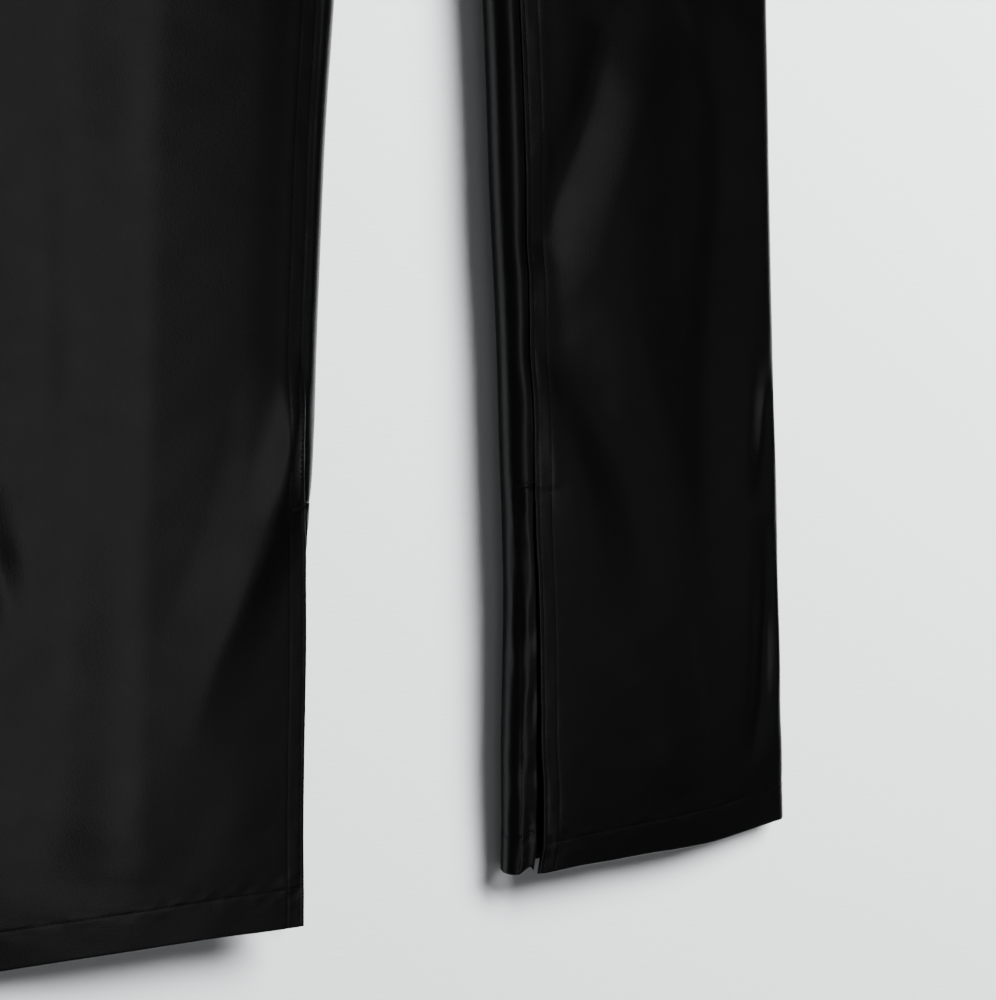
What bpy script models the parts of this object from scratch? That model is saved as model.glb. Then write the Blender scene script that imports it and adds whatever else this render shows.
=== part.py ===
"""Faux leather leggings laid flat, as six sewn pieces of thin cloth.

X runs across the garment, Y from the hems to the waist, Z up from the surface
it lies on.  Each leg is a flattened tube: its underside rests on the surface,
its inner fold is round, its outer fold is sharp, and the inseam lies on top,
a little in from the inner fold.  The inseam is open for its lowest part, which
is the slit.  All sizes are in metres.
"""
from collections import namedtuple
import math

import bmesh
import bpy
import numpy as np

# ------------------------------------------------------------------ sizes
WALL = 0.0012               # coated cloth with its knit backing
SEAM_GAP = 0.0004           # clear space between two pieces at a seam
OUTSEAM_GAP = 0.0006        # the same at the outseam, before its turn narrows it
TURNED_EDGE_EXTRA = 0.0011  # second layer where an edge is turned in
HEM_DEPTH = 0.0215          # turned-up hem
SLIT_TURN = 0.0110          # turned-back edge along the slit
SLIT_LENGTH = 0.2200        # open part of the inseam, from the hem
LAP_WIDTH = 0.0100          # back panel's allowance under the front panel
LAP_RAISE = 0.0007          # front panel's rise over the lap
LAP_SINK = 0.0009           # back panel's drop under the lap
CROTCH_UP = 0.7420          # inseam length, from the hem
CROTCH_CURVE = 0.0330       # height of the back's curve above the crotch
PANEL_TOP = 0.9580          # top edge of the leg panels, inside the band
BAND_BOTTOM = 0.9500        # lower edge of the waistband
BAND_TOP = 1.0020           # upper edge of the waistband
BAND_WALL = 0.0022          # folded band with its elastic
BAND_DIP = 0.0090           # front waist is this much lower in the middle
UP_MIDDLE = 0.50017         # middle of the garment's length, put at Y = 0
OUTSEAM_ANGLE = math.radians(-58.0)   # outseam, just under the outer fold

# One row per cross-section, measured from the hem line.  inner and outer are
# the leg's two folds, across from the garment's middle; seam_in is how far
# the inseam's turned edge lies from the inner fold; the heights are those of
# the upper cloth at the inner fold, at 0.25, 0.5 and 0.78 of the width, and
# at the outer fold.
Section = namedtuple(
    "Section",
    "up inner outer seam_in fold_round inner_height quarter middle shoulder outer_height outer_round")

LEFT_LEG_SECTIONS = (
    Section(0.000, 0.0520, 0.2432, 0.0180, 0.0100, 0.0215, 0.0215, 0.0180, 0.0150, 0.0105, 0.0055),
    Section(0.020, 0.0522, 0.2405, 0.0198, 0.0105, 0.0225, 0.0230, 0.0200, 0.0170, 0.0125, 0.0060),
    Section(0.045, 0.0519, 0.2380, 0.0195, 0.0110, 0.0230, 0.0240, 0.0215, 0.0185, 0.0140, 0.0066),
    Section(0.074, 0.0515, 0.2348, 0.0175, 0.0110, 0.0235, 0.0250, 0.0225, 0.0195, 0.0148, 0.0072),
    Section(0.100, 0.0519, 0.2329, 0.0163, 0.0110, 0.0235, 0.0250, 0.0230, 0.0200, 0.0152, 0.0075),
    Section(0.155, 0.0526, 0.2287, 0.0138, 0.0110, 0.0235, 0.0255, 0.0235, 0.0206, 0.0162, 0.0079),
    Section(0.200, 0.0517, 0.2262, 0.0122, 0.0110, 0.0235, 0.0255, 0.0240, 0.0210, 0.0165, 0.0080),
    Section(0.230, 0.0505, 0.2242, 0.0125, 0.0110, 0.0235, 0.0258, 0.0245, 0.0212, 0.0165, 0.0080),
    Section(0.300, 0.0483, 0.2196, 0.0122, 0.0110, 0.0235, 0.0262, 0.0250, 0.0215, 0.0165, 0.0080),
    Section(0.372, 0.0445, 0.2154, 0.0132, 0.0110, 0.0240, 0.0265, 0.0255, 0.0217, 0.0165, 0.0080),
    Section(0.432, 0.0424, 0.2122, 0.0130, 0.0110, 0.0240, 0.0268, 0.0258, 0.0218, 0.0165, 0.0080),
    Section(0.480, 0.0400, 0.2099, 0.0125, 0.0110, 0.0240, 0.0270, 0.0262, 0.0220, 0.0160, 0.0078),
    Section(0.540, 0.0345, 0.2091, 0.0110, 0.0105, 0.0240, 0.0275, 0.0270, 0.0222, 0.0148, 0.0072),
    Section(0.600, 0.0272, 0.2106, 0.0090, 0.0095, 0.0240, 0.0278, 0.0275, 0.0220, 0.0135, 0.0066),
    Section(0.660, 0.0182, 0.2135, 0.0065, 0.0075, 0.0235, 0.0275, 0.0275, 0.0205, 0.0110, 0.0055),
    Section(0.700, 0.0112, 0.2146, 0.0042, 0.0050, 0.0230, 0.0270, 0.0272, 0.0205, 0.0110, 0.0055),
    Section(0.725, 0.0058, 0.2150, 0.0026, 0.0030, 0.0225, 0.0265, 0.0270, 0.0205, 0.0110, 0.0055),
    Section(0.738, 0.0020, 0.2151, 0.0012, 0.0012, 0.0222, 0.0262, 0.0268, 0.0205, 0.0110, 0.0055),
    Section(0.746, 0.0002, 0.2151, 0.0002, 0.0002, 0.0220, 0.0260, 0.0266, 0.0205, 0.0110, 0.0055),
    Section(0.800, 0.0002, 0.2138, 0.0001, 0.0001, 0.0222, 0.0250, 0.0255, 0.0200, 0.0110, 0.0055),
    Section(0.860, 0.0002, 0.2050, 0.0001, 0.0001, 0.0222, 0.0235, 0.0235, 0.0190, 0.0115, 0.0058),
    Section(0.910, 0.0002, 0.1885, 0.0001, 0.0001, 0.0212, 0.0220, 0.0215, 0.0180, 0.0120, 0.0060),
    Section(0.950, 0.0002, 0.1710, 0.0001, 0.0001, 0.0205, 0.0207, 0.0200, 0.0175, 0.0130, 0.0065),
    Section(1.002, 0.0002, 0.1660, 0.0001, 0.0001, 0.0200, 0.0200, 0.0192, 0.0172, 0.0130, 0.0065),
)

RIGHT_LEG_SECTIONS = (
    Section(0.000, 0.0672, 0.2432, 0.0023, 0.0022, 0.0215, 0.0220, 0.0185, 0.0150, 0.0105, 0.0055),
    Section(0.020, 0.0668, 0.2405, 0.0024, 0.0022, 0.0220, 0.0232, 0.0205, 0.0170, 0.0125, 0.0060),
    Section(0.045, 0.0665, 0.2380, 0.0024, 0.0022, 0.0222, 0.0242, 0.0218, 0.0185, 0.0140, 0.0066),
    Section(0.089, 0.0651, 0.2338, 0.0024, 0.0022, 0.0222, 0.0250, 0.0230, 0.0198, 0.0150, 0.0073),
    Section(0.150, 0.0628, 0.2291, 0.0023, 0.0022, 0.0222, 0.0255, 0.0235, 0.0206, 0.0162, 0.0079),
    Section(0.192, 0.0618, 0.2266, 0.0024, 0.0026, 0.0222, 0.0258, 0.0240, 0.0209, 0.0165, 0.0080),
    Section(0.213, 0.0604, 0.2252, 0.0040, 0.0050, 0.0222, 0.0258, 0.0242, 0.0211, 0.0165, 0.0080),
    Section(0.230, 0.0576, 0.2242, 0.0072, 0.0090, 0.0224, 0.0260, 0.0245, 0.0212, 0.0165, 0.0080),
    Section(0.256, 0.0556, 0.2226, 0.0090, 0.0105, 0.0226, 0.0262, 0.0247, 0.0213, 0.0165, 0.0080),
    Section(0.300, 0.0533, 0.2196, 0.0096, 0.0110, 0.0228, 0.0264, 0.0250, 0.0215, 0.0165, 0.0080),
    Section(0.344, 0.0506, 0.2170, 0.0098, 0.0110, 0.0230, 0.0265, 0.0252, 0.0216, 0.0165, 0.0080),
    Section(0.401, 0.0468, 0.2136, 0.0102, 0.0110, 0.0232, 0.0267, 0.0256, 0.0218, 0.0165, 0.0080),
    Section(0.458, 0.0416, 0.2108, 0.0106, 0.0110, 0.0235, 0.0269, 0.0260, 0.0219, 0.0163, 0.0079),
    Section(0.480, 0.0396, 0.2099, 0.0108, 0.0110, 0.0236, 0.0270, 0.0262, 0.0220, 0.0160, 0.0078),
    Section(0.540, 0.0342, 0.2091, 0.0105, 0.0105, 0.0240, 0.0275, 0.0270, 0.0222, 0.0148, 0.0072),
    Section(0.600, 0.0270, 0.2106, 0.0090, 0.0095, 0.0240, 0.0278, 0.0275, 0.0220, 0.0135, 0.0066),
) + LEFT_LEG_SECTIONS[14:]

# Large folds of the upper cloth, as ridges (height above zero) and hollows
# (below zero) along a line from one point to the other.
Fold = namedtuple("Fold", "across_a up_a across_b up_b height spread")

LEFT_LEG_FOLDS = (
    Fold(0.122, 0.452, 0.096, 0.404, -0.0030, 0.013),
    Fold(0.096, 0.404, 0.070, 0.344, -0.0030, 0.012),
    Fold(0.072, 0.304, 0.110, 0.197, -0.0024, 0.012),
    Fold(0.070, 0.264, 0.084, 0.216, 0.0016, 0.007),
    Fold(0.130, 0.430, 0.121, 0.350, 0.0030, 0.018),
    Fold(0.121, 0.350, 0.138, 0.250, 0.0026, 0.016),
    Fold(0.169, 0.440, 0.172, 0.220, -0.0026, 0.015),
    Fold(0.221, 0.256, 0.206, 0.190, -0.0020, 0.006),
    Fold(0.224, 0.172, 0.218, 0.046, -0.0020, 0.006),
    Fold(0.160, 0.070, 0.166, 0.040, 0.0020, 0.020),
    Fold(0.060, 0.560, 0.110, 0.510, 0.0022, 0.014),
    Fold(0.030, 0.716, 0.120, 0.690, 0.0022, 0.011),
    Fold(0.050, 0.760, 0.150, 0.790, -0.0022, 0.012),
    Fold(0.200, 0.660, 0.140, 0.610, 0.0020, 0.013),
)

RIGHT_LEG_FOLDS = (
    Fold(0.078, 0.272, 0.104, 0.200, 0.0032, 0.013),
    Fold(0.104, 0.200, 0.133, 0.131, 0.0026, 0.014),
    Fold(0.078, 0.248, 0.086, 0.185, -0.0024, 0.009),
    Fold(0.110, 0.440, 0.100, 0.340, 0.0022, 0.014),
    Fold(0.150, 0.330, 0.158, 0.220, -0.0020, 0.014),
    Fold(0.186, 0.400, 0.192, 0.160, 0.0024, 0.015),
    Fold(0.221, 0.236, 0.208, 0.170, -0.0020, 0.006),
    Fold(0.160, 0.060, 0.170, 0.036, 0.0020, 0.020),
    Fold(0.060, 0.540, 0.105, 0.500, 0.0022, 0.014),
    Fold(0.030, 0.712, 0.115, 0.694, 0.0022, 0.011),
    Fold(0.045, 0.764, 0.145, 0.786, -0.0022, 0.012),
    Fold(0.198, 0.650, 0.136, 0.604, 0.0020, 0.013),
)

# Hem line of the upper cloth, along Y from the hem datum.
HemPoint = namedtuple("HemPoint", "across up")
LEFT_LEG_HEM = (
    HemPoint(0.052, 0.0004), HemPoint(0.058, 0.0005), HemPoint(0.0655, 0.0042),
    HemPoint(0.0695, -0.0002), HemPoint(0.0745, -0.0008), HemPoint(0.085, -0.0002),
    HemPoint(0.095, 0.0002), HemPoint(0.116, -0.0005), HemPoint(0.139, -0.0012),
    HemPoint(0.161, -0.0025), HemPoint(0.185, -0.0034), HemPoint(0.208, -0.0026),
    HemPoint(0.233, -0.0022), HemPoint(0.246, -0.0030))
RIGHT_LEG_HEM = (
    HemPoint(0.050, -0.0006), HemPoint(0.070, -0.0004), HemPoint(0.092, 0.0007),
    HemPoint(0.113, 0.0023), HemPoint(0.144, 0.0036), HemPoint(0.190, 0.0050),
    HemPoint(0.246, 0.0060))
UNDERSIDE_HEM_UP = 0.0020
HEM_FADE_UP = 0.0700        # above this height the hem line has no effect

# Slit: how far the back flap's edge stands back from the front flap's edge.
SlitPoint = namedtuple("SlitPoint", "up clearance")
LEFT_LEG_SLIT = (
    SlitPoint(0.0000, 0.0030), SlitPoint(0.0120, 0.0050), SlitPoint(0.0300, 0.0090),
    SlitPoint(0.0470, 0.0078), SlitPoint(0.0750, 0.0040), SlitPoint(0.1050, 0.0036),
    SlitPoint(0.1550, 0.0032), SlitPoint(0.1900, 0.0014), SlitPoint(0.2150, 0.0005),
    SlitPoint(0.2200, 0.0005))
RIGHT_LEG_SLIT = (
    SlitPoint(0.0000, 0.0130), SlitPoint(0.0450, 0.0140), SlitPoint(0.1200, 0.0130),
    SlitPoint(0.1700, 0.0100), SlitPoint(0.1950, 0.0050), SlitPoint(0.2120, 0.0010),
    SlitPoint(0.2200, 0.0005))

# Rows along the leg and columns across it, measured from the hem line and
# from the panel's inseam edge.
PANEL_ROWS = (
    0.0000, 0.0080, 0.0208, 0.0222, 0.0350, 0.0500, 0.0750, 0.1050, 0.1350,
    0.1650, 0.1900, 0.2070, 0.2135, 0.2185, 0.2200, 0.2230, 0.2300, 0.2500,
    0.2800, 0.3150, 0.3500, 0.3850, 0.4200, 0.4600, 0.5000, 0.5450, 0.5900,
    0.6350, 0.6750, 0.7000, 0.7160, 0.7300, 0.7370, 0.7430, 0.7500, 0.7580, 0.7670,
    0.7760, 0.8000, 0.8400, 0.8800, 0.9150, 0.9440, 0.9490, 0.9580)
FRONT_EDGE_COLUMNS = (0.0, 0.0055, 0.0108, 0.0125, 0.020, 0.031, 0.043)
FRONT_FOLD_COLUMNS = (0.020, 0.0135, 0.0095, 0.0060, 0.0030, 0.0)
FRONT_MIDDLE_COUNT = 8
BACK_EDGE_COLUMNS = (
    0.0, 0.0050, 0.0095, 0.0112, 0.0132, 0.0170, 0.0210, 0.0250, 0.0290,
    0.0330, 0.0370, 0.0415, 0.0470, 0.0560)
BACK_FOLD_COLUMNS = (0.012, 0.0060, 0.0030, 0.0)
BACK_MIDDLE_COUNT = 5
BAND_ROWS = (0.9500, 0.9660, 0.9860, 1.0020)

LEATHER_COLOUR = (0.006, 0.006, 0.0065, 1.0)
LEATHER_ROUGHNESS = 0.42
BAND_COLOUR = (0.007, 0.007, 0.0075, 1.0)

Leg = namedtuple("Leg", "side sections folds hem slit")
LEFT_LEG = Leg(1.0, LEFT_LEG_SECTIONS, LEFT_LEG_FOLDS, LEFT_LEG_HEM, LEFT_LEG_SLIT)
RIGHT_LEG = Leg(-1.0, RIGHT_LEG_SECTIONS, RIGHT_LEG_FOLDS, RIGHT_LEG_HEM, RIGHT_LEG_SLIT)


# ------------------------------------------------------------------ curves
def smooth_curve(known_x, known_y, at):
    """Value at each point of a curve through known points that never overshoots."""
    xs = np.asarray(known_x, float)
    ys = np.asarray(known_y, float)
    at = np.clip(np.asarray(at, float), xs[0], xs[-1])
    step = np.diff(xs)
    rise = np.diff(ys) / step
    slope = np.zeros(len(xs))
    slope[0] = rise[0]
    slope[-1] = rise[-1]
    for i in range(1, len(xs) - 1):
        if rise[i - 1] * rise[i] > 0.0:
            first = 2.0 * step[i] + step[i - 1]
            second = step[i] + 2.0 * step[i - 1]
            slope[i] = (first + second) / (first / rise[i - 1] + second / rise[i])
    k = np.clip(np.searchsorted(xs, at, side="right") - 1, 0, len(step) - 1)
    s = (at - xs[k]) / step[k]
    return ((2 * s**3 - 3 * s**2 + 1) * ys[k] + (s**3 - 2 * s**2 + s) * step[k] * slope[k]
            + (3 * s**2 - 2 * s**3) * ys[k + 1] + (s**3 - s**2) * step[k] * slope[k + 1])


def ease(low, high, at):
    """Smooth step from 0 at low to 1 at high."""
    s = np.clip((np.asarray(at, float) - low) / (high - low), 0.0, 1.0)
    return s * s * (3.0 - 2.0 * s)


def section_at(leg, up):
    """Cross-section of a leg at a height, between the rows of its table."""
    ups = [row.up for row in leg.sections]
    values = [float(smooth_curve(ups, [row[k] for row in leg.sections], up))
              for k in range(1, len(Section._fields))]
    return Section(up, *values)


def fold_height(leg, across, up):
    """Rise of the upper cloth from the leg's large folds."""
    total = np.zeros_like(across)
    for fold in leg.folds:
        run = fold.across_b - fold.across_a
        climb = fold.up_b - fold.up_a
        share = ((across - fold.across_a) * run + (up - fold.up_a) * climb) / (run**2 + climb**2)
        share = np.clip(share, 0.0, 1.0)
        away = np.hypot(across - fold.across_a - share * run, up - fold.up_a - share * climb)
        total = total + fold.height * np.exp(-(away / fold.spread)**2)
    return total


def upper_height(leg, cut, along):
    """Height of the upper cloth at distances along a section from its inner fold."""
    width = cut.outer - cut.inner
    first = min(cut.fold_round, 0.2 * width)
    places = (first, 0.25 * width, 0.50 * width, 0.78 * width, width - cut.outer_round)
    heights = (cut.inner_height, cut.quarter, cut.middle, cut.shoulder, cut.outer_height)
    base = smooth_curve(places, heights, along)
    folds = fold_height(leg, cut.inner + along, cut.up)
    near_outer = 1.0 - ease(width - 0.020, width - 0.004, along)
    near_inner = ease(0.002, 0.016, along)
    return base + folds * near_outer * near_inner


def section_loop(leg, up):
    """Outline of one section, from the outseam under the leg and back over it.

    Returns the distances from the inner fold, the heights, the running length
    and the running length at which the inseam's turned edge lies.
    """
    cut = section_at(leg, up)
    width = cut.outer - cut.inner
    inner_round = cut.fold_round
    outer_round = cut.outer_round
    inner_mid = 0.5 * cut.inner_height
    outer_mid = 0.5 * cut.outer_height
    low = np.linspace(OUTSEAM_ANGLE, -0.5 * math.pi, 8)
    under = np.linspace(width - outer_round, inner_round, 40)[1:]
    inner_turn = np.linspace(-0.5 * math.pi, 0.5 * math.pi, 49)[1:]
    over = np.linspace(inner_round, width - outer_round, 120)[1:]
    outer_turn = np.linspace(0.5 * math.pi, OUTSEAM_ANGLE, 40)[1:]
    inner_along = inner_round * (1.0 - np.cos(inner_turn))
    inner_top = upper_height(leg, cut, inner_along)
    inner_high = np.where(np.sin(inner_turn) < 0.0,
                          inner_mid + inner_mid * np.sin(inner_turn),
                          inner_mid + (inner_top - inner_mid) * np.sin(inner_turn))
    outer_along = width - outer_round + outer_round * np.cos(outer_turn)
    outer_top = upper_height(leg, cut, outer_along)
    outer_high = np.where(np.sin(outer_turn) < 0.0,
                          outer_mid + outer_mid * np.sin(outer_turn),
                          outer_mid + (outer_top - outer_mid) * np.sin(outer_turn))
    along = np.concatenate([width - outer_round + outer_round * np.cos(low), under,
                            inner_along, over, outer_along])
    high = np.concatenate([outer_mid + outer_mid * np.sin(low), np.zeros_like(under),
                           inner_high, upper_height(leg, cut, over), outer_high])
    length = np.concatenate([[0.0], np.cumsum(np.hypot(np.diff(along), np.diff(high)))])
    first_top = len(low) + len(under) + 24
    seam = float(np.interp(cut.seam_in, along[first_top:-len(outer_turn)],
                           length[first_top:-len(outer_turn)]))
    side_start = float(length[len(low) + len(under) - 1])
    return cut, along, high, length, seam, side_start


def lap_share(up):
    """1 where the lap's layers stand apart, 0 along the slit and above the crotch."""
    return float(ease(0.2155, 0.2192, up)) * (1.0 - float(ease(0.7160, 0.7300, up)))


def back_edge_length(leg, up, loop):
    """Running length at which the back panel's inseam edge lies."""
    cut, along, high, length, seam, side_start = loop
    if up <= SLIT_LENGTH:
        ups = [row.up for row in leg.slit]
        return seam - float(np.interp(up, ups, [row.clearance for row in leg.slit]))
    lapped = 1.0 - float(ease(0.7000, 0.7160, up))
    reach = (LAP_WIDTH * float(ease(SLIT_LENGTH, 0.2225, up)) * lapped
             - (WALL + 2.0 * SEAM_GAP) * (1.0 - lapped))
    if up <= CROTCH_UP:
        return seam + reach
    share = 1.0 - float(ease(0.0, 1.0, (up - CROTCH_UP) / CROTCH_CURVE))
    return side_start + (seam + reach - side_start) * share


# ------------------------------------------------------------------ cloth
def hem_shift(leg, across, high, up, top_height):
    """Shift along Y that gives the hem its line, fading out above it."""
    line = smooth_curve([p.across for p in leg.hem], [p.up for p in leg.hem], across)
    share = np.clip(high / top_height, 0.0, 1.0)
    fade = 1.0 - float(ease(0.0, HEM_FADE_UP, up))
    return (UNDERSIDE_HEM_UP + (line - UNDERSIDE_HEM_UP) * share) * fade


def waist_shift(across, high, up, top_height, half_width):
    """Shift along Y that lowers the front waist in the middle."""
    share = np.clip(high / top_height, 0.0, 1.0)
    bow = 1.0 - np.clip(across / half_width, 0.0, 1.0)**2
    return -BAND_DIP * share * bow * float(ease(0.780, 1.000, up))


def place_row(leg, up, lengths, loop, lowest, highest):
    """Points and outward directions of one row of cloth on its section.

    The directions are read between the lowest and the highest running length,
    so an edge that ends in a corner keeps the direction of its own side.
    """
    cut, along, high, length, seam, side_start = loop
    t = np.interp(lengths, length, along)
    z = np.interp(lengths, length, high)
    across = cut.inner + t
    y = (up + hem_shift(leg, across, z, up, cut.inner_height)
         + waist_shift(across, z, up, cut.inner_height, cut.outer))
    middle = 0.5 * (length[1:] + length[:-1])
    heading = np.unwrap(np.arctan2(np.diff(high), np.diff(along)))
    turn = np.interp(np.clip(lengths, lowest, highest), middle, heading)
    outward = np.column_stack([-leg.side * np.sin(turn), np.zeros_like(turn), np.cos(turn)])
    return np.column_stack([leg.side * across, y - UP_MIDDLE, z]), outward


def edge_and_fold_columns(edge, middle_count, fold, total):
    """Distances of a row's columns from the inseam edge, for cloth of that length."""
    start = edge[-1]
    end = total - fold[0]
    middle = [start + (end - start) * (k + 1) / (middle_count + 1) for k in range(middle_count)]
    return np.array(list(edge) + middle + [total - d for d in fold])


def turned_layer(from_edge, up):
    """Added thickness of the turned-up hem and of the slit's turned-back edge."""
    hem = 1.0 - float(ease(HEM_DEPTH - 0.0006, HEM_DEPTH + 0.0006, up))
    slit_on = 1.0 - float(ease(0.2090, 0.2135, up))
    slit = (1.0 - ease(SLIT_TURN - 0.0002, SLIT_TURN + 0.0010, from_edge)) * slit_on
    return TURNED_EDGE_EXTRA * np.maximum(hem, slit)


def band_sink(up):
    """Depth of the panel's top edge inside the waistband."""
    return (BAND_WALL + 1.5 * SEAM_GAP) * float(ease(0.9445, 0.9488, up))


def as_cloth(rows, rises, walls):
    """A piece's rows as one grid of points, directions, rises and thicknesses."""
    points = np.array([row[0] for row in rows])
    outward = np.array([row[1] for row in rows])
    return points, outward, np.array(rises), np.array(walls)


def front_panel(leg):
    """Rows of points, rises and thicknesses of a leg's front panel."""
    rows, rises, walls = [], [], []
    for up in PANEL_ROWS:
        loop = section_loop(leg, up)
        length, seam = loop[3], loop[4]
        total = length[-1] - 0.5 * OUTSEAM_GAP - seam
        from_edge = edge_and_fold_columns(FRONT_EDGE_COLUMNS, FRONT_MIDDLE_COUNT,
                                          FRONT_FOLD_COLUMNS, total)
        rows.append(place_row(leg, up, seam + from_edge, loop, seam + 0.0006, length[-1]))
        rises.append(LAP_RAISE * lap_share(up) * (1.0 - ease(0.0108, 0.0125, from_edge))
                     - band_sink(up))
        walls.append(WALL + turned_layer(from_edge, up))
    return as_cloth(rows, rises, walls)


def back_panel(leg):
    """Rows of points, rises and thicknesses of a leg's back panel."""
    rows, rises, walls = [], [], []
    for up in PANEL_ROWS:
        loop = section_loop(leg, up)
        seam = loop[4]
        edge = back_edge_length(leg, up, loop)
        total = edge - 0.5 * OUTSEAM_GAP
        from_edge = edge_and_fold_columns(BACK_EDGE_COLUMNS, BACK_MIDDLE_COUNT,
                                          BACK_FOLD_COLUMNS, total)
        lengths = edge - from_edge
        rows.append(place_row(leg, up, lengths, loop, 0.0, edge - 0.0006))
        rises.append(-LAP_SINK * lap_share(up) * ease(-0.0032, -0.0008, lengths - seam)
                     - band_sink(up))
        walls.append(WALL + turned_layer(from_edge, up))
    return as_cloth(rows, rises, walls)


def waistband(upper):
    """Rows of points, rises and thicknesses of the upper or lower half of the band."""
    rows, rises, walls = [], [], []
    for up in BAND_ROWS:
        halves = []
        for leg in (RIGHT_LEG, LEFT_LEG):
            loop = section_loop(leg, up)
            length, seam, side_start = loop[3], loop[4], loop[5]
            if upper:
                total = length[-1] - 0.5 * OUTSEAM_GAP - seam
                spread = edge_and_fold_columns((0.0, 0.02), 4, FRONT_FOLD_COLUMNS, total)
                half = place_row(leg, up, seam + spread, loop, seam + 0.0006, length[-1])
            else:
                total = side_start - 0.5 * OUTSEAM_GAP
                spread = edge_and_fold_columns((0.0, 0.02), 4, BACK_FOLD_COLUMNS, total)
                half = place_row(leg, up, side_start - spread, loop, 0.0, side_start - 0.0006)
            halves.append(half)
        halves[1][0][0, 0] = 0.0
        rows.append([np.concatenate([halves[0][k][:0:-1], halves[1][k]]) for k in (0, 1)])
        rises.append(np.zeros(len(rows[-1][0])))
        walls.append(np.full(len(rows[-1][0]), BAND_WALL))
    return as_cloth(rows, rises, walls)


def cloth_solid(name, cloth, colour):
    """One closed piece of cloth: outer face, inner face and the four edges between."""
    points, outward, rises, walls = cloth
    outer = points + outward * rises[:, :, None]
    inner = outer - outward * walls[:, :, None]
    row_count, column_count = points.shape[:2]
    body = bmesh.new()
    skins = []
    for skin in (outer, inner):
        skins.append([[body.verts.new(skin[r, c]) for c in range(column_count)]
                      for r in range(row_count)])
    for which, grid in enumerate(skins):
        for r in range(row_count - 1):
            for c in range(column_count - 1):
                corners = [grid[r][c], grid[r][c + 1], grid[r + 1][c + 1], grid[r + 1][c]]
                body.faces.new(corners if which == 0 else corners[::-1])
    top, low = skins
    for r in range(row_count - 1):
        body.faces.new([top[r][0], top[r + 1][0], low[r + 1][0], low[r][0]])
        body.faces.new([top[r + 1][-1], top[r][-1], low[r][-1], low[r + 1][-1]])
    for c in range(column_count - 1):
        body.faces.new([top[0][c + 1], top[0][c], low[0][c], low[0][c + 1]])
        body.faces.new([top[-1][c], top[-1][c + 1], low[-1][c + 1], low[-1][c]])
    bmesh.ops.triangulate(body, faces=body.faces[:])
    if body.calc_volume(signed=True) < 0.0:
        bmesh.ops.reverse_faces(body, faces=body.faces[:])
    mesh = bpy.data.meshes.new(name)
    body.to_mesh(mesh)
    body.free()
    mesh.shade_smooth()
    mesh.set_sharp_from_angle(angle=math.radians(40.0))
    thing = bpy.data.objects.new(name, mesh)
    bpy.context.scene.collection.objects.link(thing)
    finish = bpy.data.materials.new(name + "_finish")
    finish.use_nodes = True
    shader = finish.node_tree.nodes["Principled BSDF"]
    shader.inputs["Base Color"].default_value = colour
    shader.inputs["Roughness"].default_value = LEATHER_ROUGHNESS
    finish.diffuse_color = colour
    mesh.materials.append(finish)
    return thing


def build():
    """Clear the scene and build the six pieces."""
    for thing in list(bpy.data.objects):
        bpy.data.objects.remove(thing, do_unlink=True)
    for leg, word in ((RIGHT_LEG, "right"), (LEFT_LEG, "left")):
        cloth_solid("front_" + word + "_leg", front_panel(leg), LEATHER_COLOUR)
        cloth_solid("back_" + word + "_leg", back_panel(leg), LEATHER_COLOUR)
    cloth_solid("waistband_front", waistband(True), BAND_COLOUR)
    cloth_solid("waistband_back", waistband(False), BAND_COLOUR)


build()
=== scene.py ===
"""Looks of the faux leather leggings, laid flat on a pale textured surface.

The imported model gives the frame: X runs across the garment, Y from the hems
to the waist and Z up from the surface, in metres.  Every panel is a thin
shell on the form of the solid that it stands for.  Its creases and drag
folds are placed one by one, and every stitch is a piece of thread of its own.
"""
import logging
import math
from dataclasses import dataclass, field
from enum import Enum
from typing import NamedTuple

import bpy
import numpy as np
from mathutils import Matrix


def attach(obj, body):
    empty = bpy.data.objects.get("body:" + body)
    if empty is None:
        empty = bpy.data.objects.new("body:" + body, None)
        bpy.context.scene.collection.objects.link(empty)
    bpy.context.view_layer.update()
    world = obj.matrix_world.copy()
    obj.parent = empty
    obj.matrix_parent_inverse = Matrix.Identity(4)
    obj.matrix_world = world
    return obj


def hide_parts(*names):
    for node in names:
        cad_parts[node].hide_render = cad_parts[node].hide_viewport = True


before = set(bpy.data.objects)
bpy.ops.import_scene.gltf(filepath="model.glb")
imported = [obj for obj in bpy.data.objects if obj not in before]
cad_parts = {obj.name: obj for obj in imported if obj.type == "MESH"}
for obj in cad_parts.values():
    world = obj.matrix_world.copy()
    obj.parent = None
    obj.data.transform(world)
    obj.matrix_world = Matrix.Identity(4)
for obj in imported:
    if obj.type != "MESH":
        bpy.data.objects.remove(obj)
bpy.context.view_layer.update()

Array = np.ndarray
LOG = logging.getLogger("leggings")

UP_MIDDLE = 0.50017          # height along the garment that lies at Y = 0
SLIT_LENGTH = 0.2200         # open part of the inseam, from the hem
CROTCH_UP = 0.7420           # inseam length
CROTCH_CURVE = 0.0330        # height of the back's curve above the crotch
OUTSEAM_ANGLE = math.radians(-58.0)
OUTSEAM_GAP = 0.0006


class Side(Enum):
    """The wearer's legs, by their sign along X."""

    LEFT = 1.0
    RIGHT = -1.0


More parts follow.
